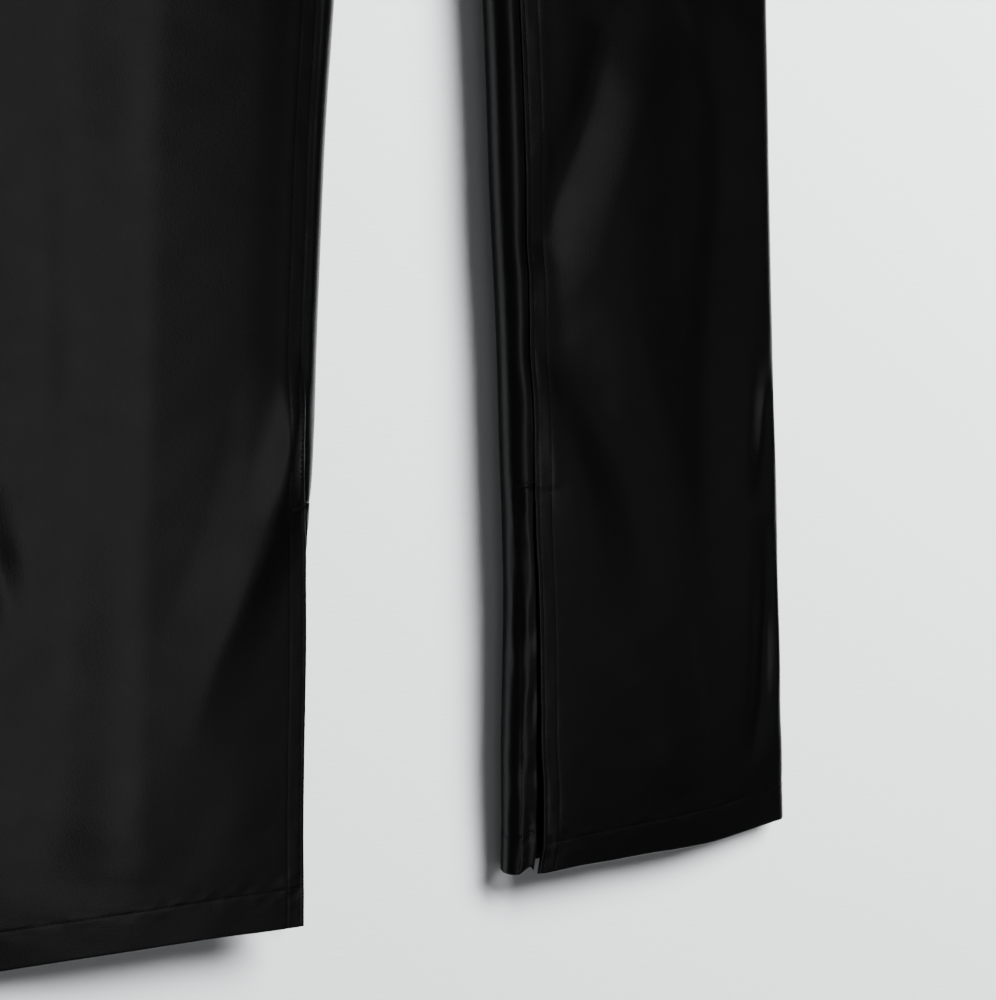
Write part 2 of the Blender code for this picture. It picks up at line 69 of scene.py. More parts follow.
# ------------------------------------------------------------------ curves
def smooth_curve(known_x: Array, known_y: Array, at: Array) -> Array:
    """Read a curve through known points that never overshoots them.

    Args:
        known_x: rising places of the known points.
        known_y: values there.
        at: places to read.

    Returns:
        The value at each place.
    """
    xs = np.asarray(known_x, float)
    ys = np.asarray(known_y, float)
    at = np.clip(np.asarray(at, float), xs[0], xs[-1])
    step = np.diff(xs)
    rise = np.diff(ys) / step
    slope = np.zeros(len(xs))
    slope[0] = rise[0]
    slope[-1] = rise[-1]
    for i in range(1, len(xs) - 1):
        if rise[i - 1] * rise[i] > 0.0:
            first = 2.0 * step[i] + step[i - 1]
            second = step[i] + 2.0 * step[i - 1]
            slope[i] = (first + second) / (first / rise[i - 1] + second / rise[i])
    k = np.clip(np.searchsorted(xs, at, side="right") - 1, 0, len(step) - 1)
    s = (at - xs[k]) / step[k]
    return ((2 * s**3 - 3 * s**2 + 1) * ys[k] + (s**3 - 2 * s**2 + s) * step[k] * slope[k]
            + (3 * s**2 - 2 * s**3) * ys[k + 1] + (s**3 - s**2) * step[k] * slope[k + 1])


def ease(low: float, high: float, at: Array) -> Array:
    """Smooth step from 0 at low to 1 at high."""
    s = np.clip((np.asarray(at, float) - low) / (high - low), 0.0, 1.0)
    return s * s * (3.0 - 2.0 * s)


def bump_at(at: Array, centre: float, spread: float) -> Array:
    """Rounded bump of height 1 at centre."""
    return np.exp(-((np.asarray(at, float) - centre) / spread) ** 2)


def drift(x: Array, y: Array, size: float, seed: int) -> Array:
    """Smooth seeded unevenness, about -1 to 1.

    Args:
        x: places across.
        y: places along.
        size: length of its waves, in the units of x and y.
        seed: picks one pattern.

    Returns:
        The value at each place.
    """
    rng = np.random.default_rng(seed)
    total = np.zeros(np.broadcast(x, y).shape)
    for _ in range(9):
        angle = rng.uniform(0.0, 2.0 * math.pi)
        turns = rng.uniform(0.6, 1.5) * 2.0 * math.pi / size
        phase = rng.uniform(0.0, 2.0 * math.pi)
        total = total + np.sin((x * math.cos(angle) + y * math.sin(angle)) * turns + phase)
    return total / 4.5


def spans(*parts: tuple[float, float, float]) -> Array:
    """Places from spans of (start, end, step), each place once and in order."""
    places = [np.arange(start, end - 0.25 * step, step) for start, end, step in parts]
    return np.concatenate(places + [[parts[-1][1]]])


# ------------------------------------------------------------------ leg form
class Section(NamedTuple):
    """One cross-section of a leg, at a height above the hem line.

    inner and outer are the two folds, across from the garment's middle.
    seam_in is how far the inseam's turned edge lies from the inner fold.
    The heights are the upper cloth's at the inner fold, at 0.25, 0.5 and
    0.78 of the width, and at the outer fold.
    """

    up: float
    inner: float
    outer: float
    seam_in: float
    fold_round: float
    inner_height: float
    quarter: float
    middle: float
    shoulder: float
    outer_height: float
    outer_round: float


class EdgePoint(NamedTuple):
    """A point of the hem line of the upper cloth."""

    across: float
    up: float


class SlitPoint(NamedTuple):
    """How far the back flap's edge stands back from the front flap's edge."""

    up: float
    clearance: float


@dataclass(frozen=True)
class Crease:
    """One crease or drag fold of the upper cloth, along a line from the top down.

    height is above zero for a ridge and below it for a hollow.  outward and
    inward are how far its flanks reach towards the outer fold and towards the
    inseam, and crest is how round it is.  start and end are the shares of its
    height at the line's two ends, and full is where along the line it is whole.
    """

    points: tuple[tuple[float, float], ...]
    height: float
    outward: float
    inward: float
    crest: float = 0.006
    start: float = 0.2
    end: float = 0.0
    full: float = 0.35

    def rise(self, across: Array, up: Array) -> Array:
        """Height that the crease adds at each place."""
        line = np.array(self.points)
        steps = np.hypot(*np.diff(line, axis=0).T)
        reach = np.concatenate([[0.0], np.cumsum(steps)])
        best = np.full(np.shape(across), 1e9)
        share = np.zeros(np.shape(across))
        side = np.zeros(np.shape(across))
        for k, length in enumerate(steps):
            way = (line[k + 1] - line[k]) / length
            da = across - line[k, 0]
            du = up - line[k, 1]
            t = np.clip(da * way[0] + du * way[1], 0.0, length)
            away = np.hypot(da - t * way[0], du - t * way[1])
            nearer = away < best
            best = np.where(nearer, away, best)
            share = np.where(nearer, (reach[k] + t) / reach[-1], share)
            side = np.where(nearer, way[0] * du - way[1] * da, side)
        spread = self.inward + (self.outward - self.inward) * ease(-0.003, 0.003, side)
        taper = smooth_curve([0.0, self.full, 1.0], [self.start, 1.0, self.end], share)
        away = np.hypot(best, self.crest) - self.crest
        return self.height * taper * np.clip(1.0 - away / spread, 0.0, None) ** 1.5


class Outline(NamedTuple):
    """Closed outline of a section, from the outseam under the leg and back over it."""

    cut: Section
    along: Array
    high: Array
    length: Array
    seam: float
    side_start: float


@dataclass
class LegForm:
    """Shape of one leg as it lies, from its tables of sizes."""

    side: Side
    sections: tuple[Section, ...]
    hem: tuple[EdgePoint, ...]
    slit: tuple[SlitPoint, ...]
    creases: tuple[Crease, ...]
    hem_stitch_up: tuple[float, float]
    back_hem_stitch_up: float = 0.0225
    unevenness: float = 0.00016
    hem_fade_up: float = 0.0700
    underside_hem_up: float = 0.0020
    waist_dip: float = 0.0090
    known: dict[float, Outline] = field(default_factory=dict)

    def section(self, up: float) -> Section:
        """Cross-section at a height, between the rows of the table."""
        table = np.array(self.sections)
        columns = range(1, table.shape[1])
        values = [float(smooth_curve(table[:, 0], table[:, k], up)) for k in columns]
        return Section(up, *values)

    def folds(self, across: Array, up: float) -> Array:
        """Rise of the upper cloth from its creases and its unevenness."""
        ups = np.full_like(across, up)
        total = self.unevenness * drift(across, ups, 0.070, 3 + int(self.side.value))
        total = total + 0.4 * self.unevenness * drift(across, ups, 0.026, 11)
        for crease in self.creases:
            total = total + crease.rise(across, ups)
        return total

    def upper_height(self, cut: Section, along: Array) -> Array:
        """Height of the upper cloth at distances from the inner fold."""
        width = cut.outer - cut.inner
        first = min(cut.fold_round, 0.2 * width)
        places = (first, 0.25 * width, 0.50 * width, 0.78 * width, width - cut.outer_round)
        heights = (cut.inner_height, cut.quarter, cut.middle, cut.shoulder, cut.outer_height)
        base = smooth_curve(places, heights, along)
        folds = self.folds(cut.inner + along, cut.up)
        near_outer = 1.0 - ease(width - 0.007, width - 0.0005, along)
        near_inner = ease(0.002, 0.014, along)
        return base + folds * near_outer * near_inner

    def outline(self, up: float) -> Outline:
        """Closed outline of the section at a height, worked out once."""
        key = round(float(up), 6)
        if key not in self.known:
            self.known[key] = self._trace(key)
        return self.known[key]

    def _trace(self, up: float) -> Outline:
        """Work out the outline of the section at a height."""
        cut = self.section(up)
        width = cut.outer - cut.inner
        inner_mid = 0.5 * cut.inner_height
        outer_mid = 0.5 * cut.outer_height
        low = np.linspace(OUTSEAM_ANGLE, -0.5 * math.pi, 12)
        under = np.linspace(width - cut.outer_round, cut.fold_round, 60)[1:]
        inner_turn = np.linspace(-0.5 * math.pi, 0.5 * math.pi, 81)[1:]
        over = np.linspace(cut.fold_round, width - cut.outer_round, 260)[1:]
        outer_turn = np.linspace(0.5 * math.pi, OUTSEAM_ANGLE, 60)[1:]
        inner_along = cut.fold_round * (1.0 - np.cos(inner_turn))
        outer_along = width - cut.outer_round * (1.0 - np.cos(outer_turn))
        inner_high = self._turn_height(cut, inner_along, inner_turn, inner_mid)
        outer_high = self._turn_height(cut, outer_along, outer_turn, outer_mid)
        along = np.concatenate([width - cut.outer_round * (1.0 - np.cos(low)), under,
                                inner_along, over, outer_along])
        high = np.concatenate([outer_mid * (1.0 + np.sin(low)), np.zeros_like(under),
                               inner_high, self.upper_height(cut, over), outer_high])
        length = np.concatenate([[0.0], np.cumsum(np.hypot(np.diff(along), np.diff(high)))])
        top = slice(len(low) + len(under) + 40, -len(outer_turn))
        seam = float(np.interp(cut.seam_in, along[top], length[top]))
        return Outline(cut, along, high, length, seam, float(length[len(low) + len(under) - 1]))

    def _turn_height(self, cut: Section, along: Array, turn: Array, middle: float) -> Array:
        """Heights round a fold, from its turning angle."""
        top = self.upper_height(cut, along)
        sine = np.sin(turn)
        return np.where(sine < 0.0, middle * (1.0 + sine), middle + (top - middle) * sine)

    def shift(self, across: Array, high: Array, cut: Section) -> Array:
        """Shift along Y that gives the hem and the waist their lines."""
        line = smooth_curve([p.across for p in self.hem], [p.up for p in self.hem], across)
        share = np.clip(high / cut.inner_height, 0.0, 1.0)
        fade = 1.0 - float(ease(0.0, self.hem_fade_up, cut.up))
        hem = (self.underside_hem_up + (line - self.underside_hem_up) * share) * fade
        bow = 1.0 - np.clip(across / cut.outer, 0.0, 1.0) ** 2
        return hem - self.waist_dip * share * bow * float(ease(0.780, 1.000, cut.up))

    def place(self, outline: Outline, lengths: Array, lowest: float,
              highest: float) -> tuple[Array, Array]:
        """Put a row of cloth on a section.

        Args:
            outline: the section's outline.
            lengths: running length of each point of the row.
            lowest: least running length whose direction is used.
            highest: greatest running length whose direction is used.

        Returns:
            The points and their outward directions.
        """
        t = np.interp(lengths, outline.length, outline.along)
        z = np.interp(lengths, outline.length, outline.high)
        across = outline.cut.inner + t
        y = outline.cut.up + self.shift(across, z, outline.cut)
        middle = 0.5 * (outline.length[1:] + outline.length[:-1])
        heading = np.unwrap(np.arctan2(np.diff(outline.high), np.diff(outline.along)))
        turn = np.interp(np.clip(lengths, lowest, highest), middle, heading)
        flat = np.zeros_like(turn)
        outward = np.column_stack([-self.side.value * np.sin(turn), flat, np.cos(turn)])
        return np.column_stack([self.side.value * across, y - UP_MIDDLE, z]), outward


# ------------------------------------------------------------------ finishes
Colour = tuple[float, float, float, float]


def grey(level: float) -> Colour:
    """A neutral colour of one linear level."""
    return (level, level, level * 1.04, 1.0)


@dataclass
class NodeBench:
    """A new node material, with short ways to add and join its nodes."""

    name: str

    def __post_init__(self) -> None:
        """Start the material, with its shader and its place on the object."""
        self.material = bpy.data.materials.new(self.name)
        self.material.use_nodes = True
        self.tree = self.material.node_tree
        self.shader = self.tree.nodes["Principled BSDF"]
        self.place = self.add("ShaderNodeTexCoord")

    def add(self, kind: str, **values: float | tuple[float, ...]) -> bpy.types.Node:
        """Add a node of a kind and set the sockets that are named."""
        node = self.tree.nodes.new(kind)
        for socket, value in values.items():
            node.inputs[socket].default_value = value
        return node

    def join(self, start: bpy.types.NodeSocket, end: bpy.types.NodeSocket) -> None:
        """Join an output to an input."""
        self.tree.links.new(start, end)

    def texture(self, kind: str, **values: float | tuple[float, ...]) -> bpy.types.Node:
        """Add a node that reads its place on the object."""
        node = self.add(kind, **values)
        self.join(self.place.outputs["Object"], node.inputs["Vector"])
        return node

    def tint(self, share: bpy.types.NodeSocket, first: Colour, second: Colour) -> None:
        """Colour the finish from first to second by a share."""
        mix = self.add("ShaderNodeMix")
        mix.data_type = "RGBA"
        mix.inputs[6].default_value = first
        mix.inputs[7].default_value = second
        self.join(share, mix.inputs[0])
        self.join(mix.outputs[2], self.shader.inputs["Base Color"])

    def bump(self, height: bpy.types.NodeSocket, **values: float) -> None:
        """Raise the finish by a height."""
        bump = self.add("ShaderNodeBump", **values)
        self.join(height, bump.inputs["Height"])
        self.join(bump.outputs["Normal"], self.shader.inputs["Normal"])


@dataclass(frozen=True)
class FauxLeather:
    """Black coated cloth: a satin skin with a fine pebble grain."""

    name: str = "faux_leather"
    base: float = 0.0006
    worn_base: float = 0.0014
    specular: float = 0.16
    roughness_low: float = 0.29
    roughness_high: float = 0.39
    pebble_scale: float = 1300.0
    pebble_depth: float = 0.00004
    mottle_scale: float = 55.0

    def material(self) -> bpy.types.Material:
        """Build the node material."""
        bench = NodeBench(self.name)
        bench.shader.inputs["Specular IOR Level"].default_value = self.specular
        mottle = bench.texture("ShaderNodeTexNoise", Scale=self.mottle_scale, Detail=5.0)
        rough = bench.add("ShaderNodeMapRange")
        rough.inputs["To Min"].default_value = self.roughness_low
        rough.inputs["To Max"].default_value = self.roughness_high
        bench.join(mottle.outputs["Fac"], rough.inputs["Value"])
        bench.join(rough.outputs["Result"], bench.shader.inputs["Roughness"])
        wear = bench.add("ShaderNodeAttribute")
        wear.attribute_name = "wear"
        bench.tint(wear.outputs["Fac"], grey(self.base), grey(self.worn_base))
        self._grain(bench)
        return bench.material

    def _grain(self, bench: NodeBench) -> None:
        """Add the pebbles and the fine scratches between them."""
        pebble = bench.texture("ShaderNodeTexVoronoi", Scale=self.pebble_scale)
        fine = bench.texture("ShaderNodeTexNoise", Scale=self.pebble_scale * 0.45, Detail=3.0)
        grain = bench.add("ShaderNodeMath")
        grain.operation = "ADD"
        bench.join(pebble.outputs["Distance"], grain.inputs[0])
        bench.join(fine.outputs["Fac"], grain.inputs[1])
        bench.bump(grain.outputs["Value"], Distance=self.pebble_depth, Strength=0.8)


@dataclass(frozen=True)
class KnitBacking:
    """Charcoal knit on the inner side of the coated cloth."""

    name: str = "knit_backing"
    base: float = 0.0040
    roughness: float = 0.92
    loop_scale: float = 900.0

    def material(self) -> bpy.types.Material:
        """Build the node material."""
        bench = NodeBench(self.name)
        bench.shader.inputs["Roughness"].default_value = self.roughness
        loops = bench.texture("ShaderNodeTexVoronoi", Scale=self.loop_scale)
        bench.tint(loops.outputs["Distance"], grey(self.base), grey(self.base * 0.55))
        bench.bump(loops.outputs["Distance"], Distance=0.0002)
        return bench.material


@dataclass(frozen=True)
class Thread:
    """Black twisted sewing thread."""

    name: str = "black_thread"
    base: float = 0.0022
    specular: float = 0.12
    roughness: float = 0.70
    twist_scale: float = 2600.0

    def material(self) -> bpy.types.Material:
        """Build the node material."""
        bench = NodeBench(self.name)
        shader = bench.shader
        shader.inputs["Base Color"].default_value = grey(self.base)
        shader.inputs["Roughness"].default_value = self.roughness
        shader.inputs["Specular IOR Level"].default_value = self.specular
        twist = bench.texture("ShaderNodeTexNoise", Scale=self.twist_scale)
        bench.bump(twist.outputs["Fac"], Distance=0.00005)
        return bench.material


@dataclass(frozen=True)
class PaleSurface:
    """Pale cool grey surface with a fine uneven weave."""

    name: str = "pale_surface"
    level: float = 0.78
    roughness: float = 0.75
    tooth_scale: float = 420.0

    def material(self) -> bpy.types.Material:
        """Build the node material."""
        bench = NodeBench(self.name)
        bench.shader.inputs["Roughness"].default_value = self.roughness
        weave = bench.texture("ShaderNodeMapping", Scale=(0.25, 1.5, 1.0))
        tooth = bench.add("ShaderNodeTexNoise", Scale=self.tooth_scale, Detail=4.0)
        bench.join(weave.outputs["Vector"], tooth.inputs["Vector"])
        level = self.level
        bench.tint(tooth.outputs["Fac"], (level * 0.955, level * 0.975, level, 1.0),
                   (level * 0.99, level * 1.01, level * 1.035, 1.0))
        bench.bump(tooth.outputs["Fac"], Distance=0.0002, Strength=0.4)
        return bench.material


# ------------------------------------------------------------------ cloth
# Places of a row's points: from the inseam edge, and back from the outseam.
SEAM_EDGE_PLACES = (
    0.0, 0.0003, 0.0007, 0.0012, 0.0018, 0.0022, 0.0026, 0.0030, 0.0035, 0.0044, 0.0054, 0.0066,
    0.0078, 0.0086, 0.0091, 0.0096, 0.0101, 0.0107, 0.0116, 0.0128, 0.0145, 0.0165, 0.0190, 0.0220)
FRONT_FOLD_PLACES = (0.0200, 0.0175, 0.0150, 0.0130, 0.0115, 0.0100, 0.0086, 0.0073,
                     0.0060, 0.0048, 0.0036, 0.0024, 0.0012, 0.0004, 0.0)
BACK_FOLD_PLACES = (0.0120, 0.0090, 0.0060, 0.0040, 0.0020, 0.0004, 0.0)
BAND_FOLD_PLACES = (0.0200, 0.0150, 0.0115, 0.0086, 0.0060, 0.0036, 0.0016, 0.0004, 0.0)
BACK_TURN_WIDTH = 0.0640     # width of the back panel that goes round the inner fold


@dataclass(frozen=True)
class ClothGauge:
    """Thicknesses of the cloth and the sizes of its sewn edges.

    The pairs are the heights between which one way of sewing gives way to
    the next.
    """

    wall: float = 0.0012
    turned: float = 0.0011
    hem_depth: float = 0.0215
    slit_turn: float = 0.0110
    lap_width: float = 0.0100
    lap_raise: float = 0.0004
    lap_sink: float = 0.0007
    seam_gap: float = 0.0004
    first_row: float = 0.0026
    second_row: float = 0.0096
    groove: float = 0.00010
    groove_spread: float = 0.0008
    pucker: float = 0.00016
    flap_wave: float = 0.0005
    panel_top: float = 0.9580
    band_wall: float = 0.0022
    slit_turn_ends: tuple[float, float] = (0.2090, 0.2135)
    flap_ends: tuple[float, float] = (0.210, 0.222)
    lap_starts: tuple[float, float] = (0.2155, 0.2192)
    lap_closes: tuple[float, float] = (0.7000, 0.7160)
    lap_ends: tuple[float, float] = (0.7160, 0.7300)
    rows_end: tuple[float, float] = (0.722, 0.736)
    centre_starts: tuple[float, float] = (0.736, 0.760)
    band_starts: tuple[float, float] = (0.9445, 0.9488)

    def turned_layer(self, from_edge: Array, up: float) -> Array:
        """Thickness that the turned-up hem and the slit's turned edge add."""
        hem = 1.0 - float(ease(self.hem_depth - 0.0006, self.hem_depth + 0.0006, up))
        slit_on = 1.0 - float(ease(*self.slit_turn_ends, up))
        slit = (1.0 - ease(self.slit_turn - 0.0002, self.slit_turn + 0.0010, from_edge)) * slit_on
        return self.turned * np.maximum(hem, slit)

    def lap_share(self, up: float) -> float:
        """1 where the lap's layers stand apart, 0 on the slit and over the crotch."""
        return float(ease(*self.lap_starts, up)) * (1.0 - float(ease(*self.lap_ends, up)))

    def band_sink(self, up: float) -> float:
        """Depth of the panel's top edge inside the waistband."""
        return (self.band_wall + 1.5 * self.seam_gap) * float(ease(*self.band_starts, up))


@dataclass
class Grid:
    """Rows of a piece of cloth: its outer and inner points and where they lie."""

    ups: Array
    from_edge: Array
    outer: Array
    inner: Array
    leather_inside: Array
    wear: Array

    def at(self, up: Array, from_edge: Array) -> Array:
        """Points on the outer face at heights and distances from the seam edge."""
        row = np.clip(np.searchsorted(self.ups, up, side="right") - 1, 0, len(self.ups) - 2)
        part = (up - self.ups[row]) / (self.ups[row + 1] - self.ups[row])
        found = []
        for k in (row, row + 1):
            places = self.from_edge[k]
            column = np.sum(places <= from_edge[:, None], axis=1) - 1
            column = np.clip(column, 0, places.shape[1] - 2)
            pick = np.arange(len(column))
            start, end = places[pick, column], places[pick, column + 1]
            share = np.clip((from_edge - start) / (end - start), 0.0, 1.0)
            first, second = self.outer[k, column], self.outer[k, column + 1]
            found.append(first + (second - first) * share[:, None])
        return found[0] + (found[1] - found[0]) * part[:, None]

    def outward(self, up: Array, from_edge: Array) -> Array:
        """Directions out of the cloth at heights and distances from the seam edge."""
        step = 0.0008
        last = np.interp(up, self.ups, self.from_edge[:, -1])
        a = self.at(np.clip(up - step, self.ups[0], self.ups[-1]), from_edge)
        b = self.at(np.clip(up + step, self.ups[0], self.ups[-1]), from_edge)
        c = self.at(up, np.clip(from_edge - step, 0.0, last))
        d = self.at(up, np.clip(from_edge + step, 0.0, last))
        normal = np.cross(d - c, b - a)
        row = np.clip(np.searchsorted(self.ups, up), 0, len(self.ups) - 1)
        column = np.argmin(np.abs(self.from_edge[row] - from_edge[:, None]), axis=1)
        shell = self.outer[row, column] - self.inner[row, column]
        normal *= np.sign(np.sum(normal * shell, axis=1))[:, None]
        return normal / np.linalg.norm(normal, axis=1)[:, None]


class Face(Enum):
    """Which half of a tube of cloth."""

    FRONT = "front"
    BACK = "back"


def shell_mesh(name: str, grid: Grid, skin: bpy.types.Material,
               backing: bpy.types.Material) -> bpy.types.Object:
    """Build one closed shell of cloth from its grid.

    Args:
        name: the piece's name.
        grid: its rows of outer and inner points.
        skin: finish of the outer face and the edges.
        backing: finish of the inner face.

    Returns:
        The new object, linked to the scene.
    """
    rows, columns = grid.outer.shape[:2]
    count = rows * columns
    points = np.concatenate([grid.outer.reshape(-1, 3), grid.inner.reshape(-1, 3)])
    index = np.arange(count).reshape(rows, columns)
    a, b = index[:-1, :-1], index[:-1, 1:]
    c, d = index[1:, 1:], index[1:, :-1]
    top = np.stack([a, b, c, d], axis=-1).reshape(-1, 4)
    low = np.stack([d, c, b, a], axis=-1).reshape(-1, 4) + count
    ring = np.concatenate([index[0, :-1], index[:-1, -1], index[-1, :0:-1], index[:0:-1, 0]])
    after = np.roll(ring, -1)
    edge = np.stack([after, ring, ring + count, after + count], axis=-1)
    faces = np.concatenate([top, low, edge])
    across = grid.outer[0, 1] - grid.outer[0, 0]
    along = grid.outer[1, 0] - grid.outer[0, 0]
    if np.dot(np.cross(across, along), grid.outer[0, 0] - grid.inner[0, 0]) < 0.0:
        faces = faces[:, ::-1]
    mesh = bpy.data.meshes.new(name)
    mesh.from_pydata(points.tolist(), [], faces.tolist())
    mesh.materials.append(skin)
    mesh.materials.append(backing)
    slots = np.zeros(len(faces), dtype=np.int32)
    slots[len(top):2 * len(top)] = np.where(grid.leather_inside[:-1, :-1].reshape(-1), 0, 1)
    mesh.polygons.foreach_set("material_index", slots)
    worn = mesh.attributes.new("wear", "FLOAT", "POINT")
    wear = grid.wear.reshape(-1)
    worn.data.foreach_set("value", np.concatenate([wear, np.zeros_like(wear)]))
    mesh.shade_smooth()
    mesh.update()
    thing = bpy.data.objects.new(name, mesh)
    bpy.context.scene.collection.objects.link(thing)
    return thing


def rounded_drop(distance: Array, radius: Array) -> Array:
    """How far a face drops towards a rounded edge, at distances from the edge."""
    inside = np.clip(radius - distance, 0.0, radius)
    return 0.9 * (radius - np.sqrt(np.clip(radius**2 - inside**2, 0.0, None)))


@dataclass
class ClothPanel:
    """One leg panel: a shell of cloth with turned edges and grooves along its sewing."""

    leg: LegForm
    face: Face
    gauge: ClothGauge
    name: str
    node: str
    rows: Array = field(default_factory=lambda: np.concatenate([
        [0.0, 0.0002, 0.0006, 0.0012], spans((0.0020, 0.0160, 0.0014), (0.0160, 0.0250, 0.0006),
                                           (0.0250, 0.0300, 0.0010), (0.0300, 0.2040, 0.0022),
                                           (0.2040, 0.2250, 0.0008), (0.2250, 0.5000, 0.0024),
                                           (0.5000, 0.6900, 0.0050), (0.6900, 0.7900, 0.0025),
                                           (0.7900, 0.9400, 0.0050), (0.9400, 0.9580, 0.0015))]))
    grid: Grid | None = None

    def row_places(self, outline: Outline) -> tuple[Array, Array, float, float]:
        """Columns of one row.

        Args:
            outline: outline of the row's section.

        Returns:
            Distances from the inseam edge, running lengths, and the range of
            running lengths whose directions may be used.
        """
        edge = np.array(SEAM_EDGE_PLACES)
        if self.face is Face.FRONT:
            total = outline.length[-1] - 0.5 * OUTSEAM_GAP - outline.seam
            fold = np.array(FRONT_FOLD_PLACES)
            middle = np.linspace(edge[-1], total - fold[0], 50)[1:-1]
            places = np.concatenate([edge, middle, total - fold])
            return places, outline.seam + places, outline.seam + 0.0006, outline.length[-1]
        start = self.back_edge(outline)
        total = start - 0.5 * OUTSEAM_GAP
        turn = np.linspace(edge[-1], BACK_TURN_WIDTH, 20)[1:]
        fold = np.array(BACK_FOLD_PLACES)
        middle = np.linspace(turn[-1], total - fold[0], 28)[1:-1]
        places = np.concatenate([edge, turn, middle, total - fold])
        return places, start - places, 0.0, start - 0.0006

    def back_edge(self, outline: Outline) -> float:
        """Running length at which the back panel's inseam edge lies."""
        up, seam = outline.cut.up, outline.seam
        if up <= SLIT_LENGTH:
            table = self.leg.slit
            return seam - float(np.interp(up, [p.up for p in table], [p.clearance for p in table]))
        gauge = self.gauge
        lapped = 1.0 - float(ease(*gauge.lap_closes, up))
        reach = (gauge.lap_width * float(ease(SLIT_LENGTH, 0.2225, up)) * lapped
                 - (gauge.wall + 2.0 * gauge.seam_gap) * (1.0 - lapped))
        if up <= CROTCH_UP:
            return seam + reach
        share = 1.0 - float(ease(0.0, 1.0, (up - CROTCH_UP) / CROTCH_CURVE))
        return outline.side_start + (seam + reach - outline.side_start) * share

    def build(self, skin: bpy.types.Material, backing: bpy.types.Material) -> bpy.types.Object:
        """Build the panel's shell.

        Args:
            skin: finish of its outer face.
            backing: finish of its inner face.

        Returns:
            The panel's object.
        """
        outer, inner, distances, inside, wear = [], [], [], [], []
        for up in self.rows:
            outline = self.leg.outline(up)
            from_edge, lengths, lowest, highest = self.row_places(outline)
            points, outward = self.leg.place(outline, lengths, lowest, highest)
            wall = self.gauge.wall + self.gauge.turned_layer(from_edge, up)
            drop = self._drop(from_edge, up, wall)
            rise = self._rise(outline, from_edge, lengths) - drop
            face = points + outward * rise[:, None]
            outer.append(face)
            inner.append(face - outward * (wall - 2.0 * drop)[:, None])
            distances.append(from_edge)
            inside.append(wall > self.gauge.wall + 0.5 * self.gauge.turned)
            wear.append(self._wear(from_edge, up))
        self.grid = Grid(self.rows, np.array(distances), np.array(outer), np.array(inner),
                         np.array(inside), np.array(wear))
        return shell_mesh(self.name, self.grid, skin, backing)

    def _drop(self, from_edge: Array, up: float, wall: Array) -> Array:
        """Rounding of the panel's four edges."""
        lapped = self.face is Face.FRONT and up < 0.730
        open_edge = up < SLIT_LENGTH or lapped
        seam_drop = rounded_drop(from_edge, (0.5 if open_edge else 0.25) * wall)
        hem_drop = rounded_drop(np.full_like(from_edge, up), 0.5 * wall)
        outseam_drop = rounded_drop(from_edge[-1] - from_edge, 0.25 * wall)
        return np.maximum(np.maximum(seam_drop, hem_drop), outseam_drop)

    def _rise(self, outline: Outline, from_edge: Array, lengths: Array) -> Array:
        """Rise of the panel's outer face from the leg's form."""
        gauge, up = self.gauge, outline.cut.up
        share = gauge.lap_share(up)
        rise = np.full_like(from_edge, -gauge.band_sink(up))
        if self.face is Face.FRONT:
            rise += gauge.lap_raise * share * (1.0 - ease(0.0100, 0.0180, from_edge))
            sewn = 1.0 - float(ease(*gauge.rows_end, up))
            rows = bump_at(from_edge, gauge.first_row, gauge.groove_spread)
            rows = rows + bump_at(from_edge, gauge.second_row, gauge.groove_spread)
            rise -= gauge.groove * rows * sewn
            centre = float(ease(*gauge.centre_starts, up))
            rise -= 0.0006 * centre * bump_at(from_edge, 0.0, 0.0035)
            hem_row = self.hem_stitch(from_edge / from_edge[-1])
        else:
            rise -= gauge.lap_sink * share * ease(-0.0032, -0.0008, lengths - outline.seam)
            slit = 1.0 - float(ease(*gauge.flap_ends, up))
            rise -= gauge.groove * bump_at(from_edge, gauge.second_row, gauge.groove_spread) * slit
            loose = gauge.flap_wave * np.exp(-from_edge / 0.012) * (0.35 + 0.65 * slit)
            loose = loose * float(ease(0.0, 0.006, up))
            rise += loose * drift(from_edge * 2.4, np.full_like(from_edge, up * 0.7), 0.022, 41)
            hem_row = np.full_like(from_edge, self.leg.back_hem_stitch_up)
        ups = np.full_like(from_edge, up)
        sewn_near = np.exp(-from_edge / 0.011) * ease(0.0, 0.0012, from_edge)
        sewn_near = sewn_near + 0.8 * np.exp(-((up - hem_row) / 0.007) ** 2) * ease(0.0, 0.004, up)
        rise += gauge.pucker * sewn_near * drift(from_edge, ups, 0.010, 31)
        return rise - gauge.groove * np.exp(-(((up - hem_row) / gauge.groove_spread) ** 2))

    def hem_stitch(self, share: Array) -> Array:
        """Height of the hem's stitches at shares of the width from the slit."""
        first, last = self.leg.hem_stitch_up
        return first + (last - first) * np.asarray(share)

    def _wear(self, from_edge: Array, up: float) -> Array:
        """How worn the skin is: most along the inseam's turned edge and the hem."""
        edge = np.exp(-from_edge / 0.0012) * (1.0 if up < 0.73 else 0.3)
        hem = math.exp(-up / 0.0012)
        return np.clip(np.maximum(edge, hem), 0.0, 1.0)

    def flat_size(self) -> tuple[float, float, float]:
        """Width, length and area of the cloth as cut, without its folds."""
        widths = self.grid.from_edge[:, -1]
        heights = np.diff(self.grid.ups)
        area = float(np.sum(0.5 * (widths[1:] + widths[:-1]) * heights))
        return float(widths.max()), float(self.gauge.panel_top), area


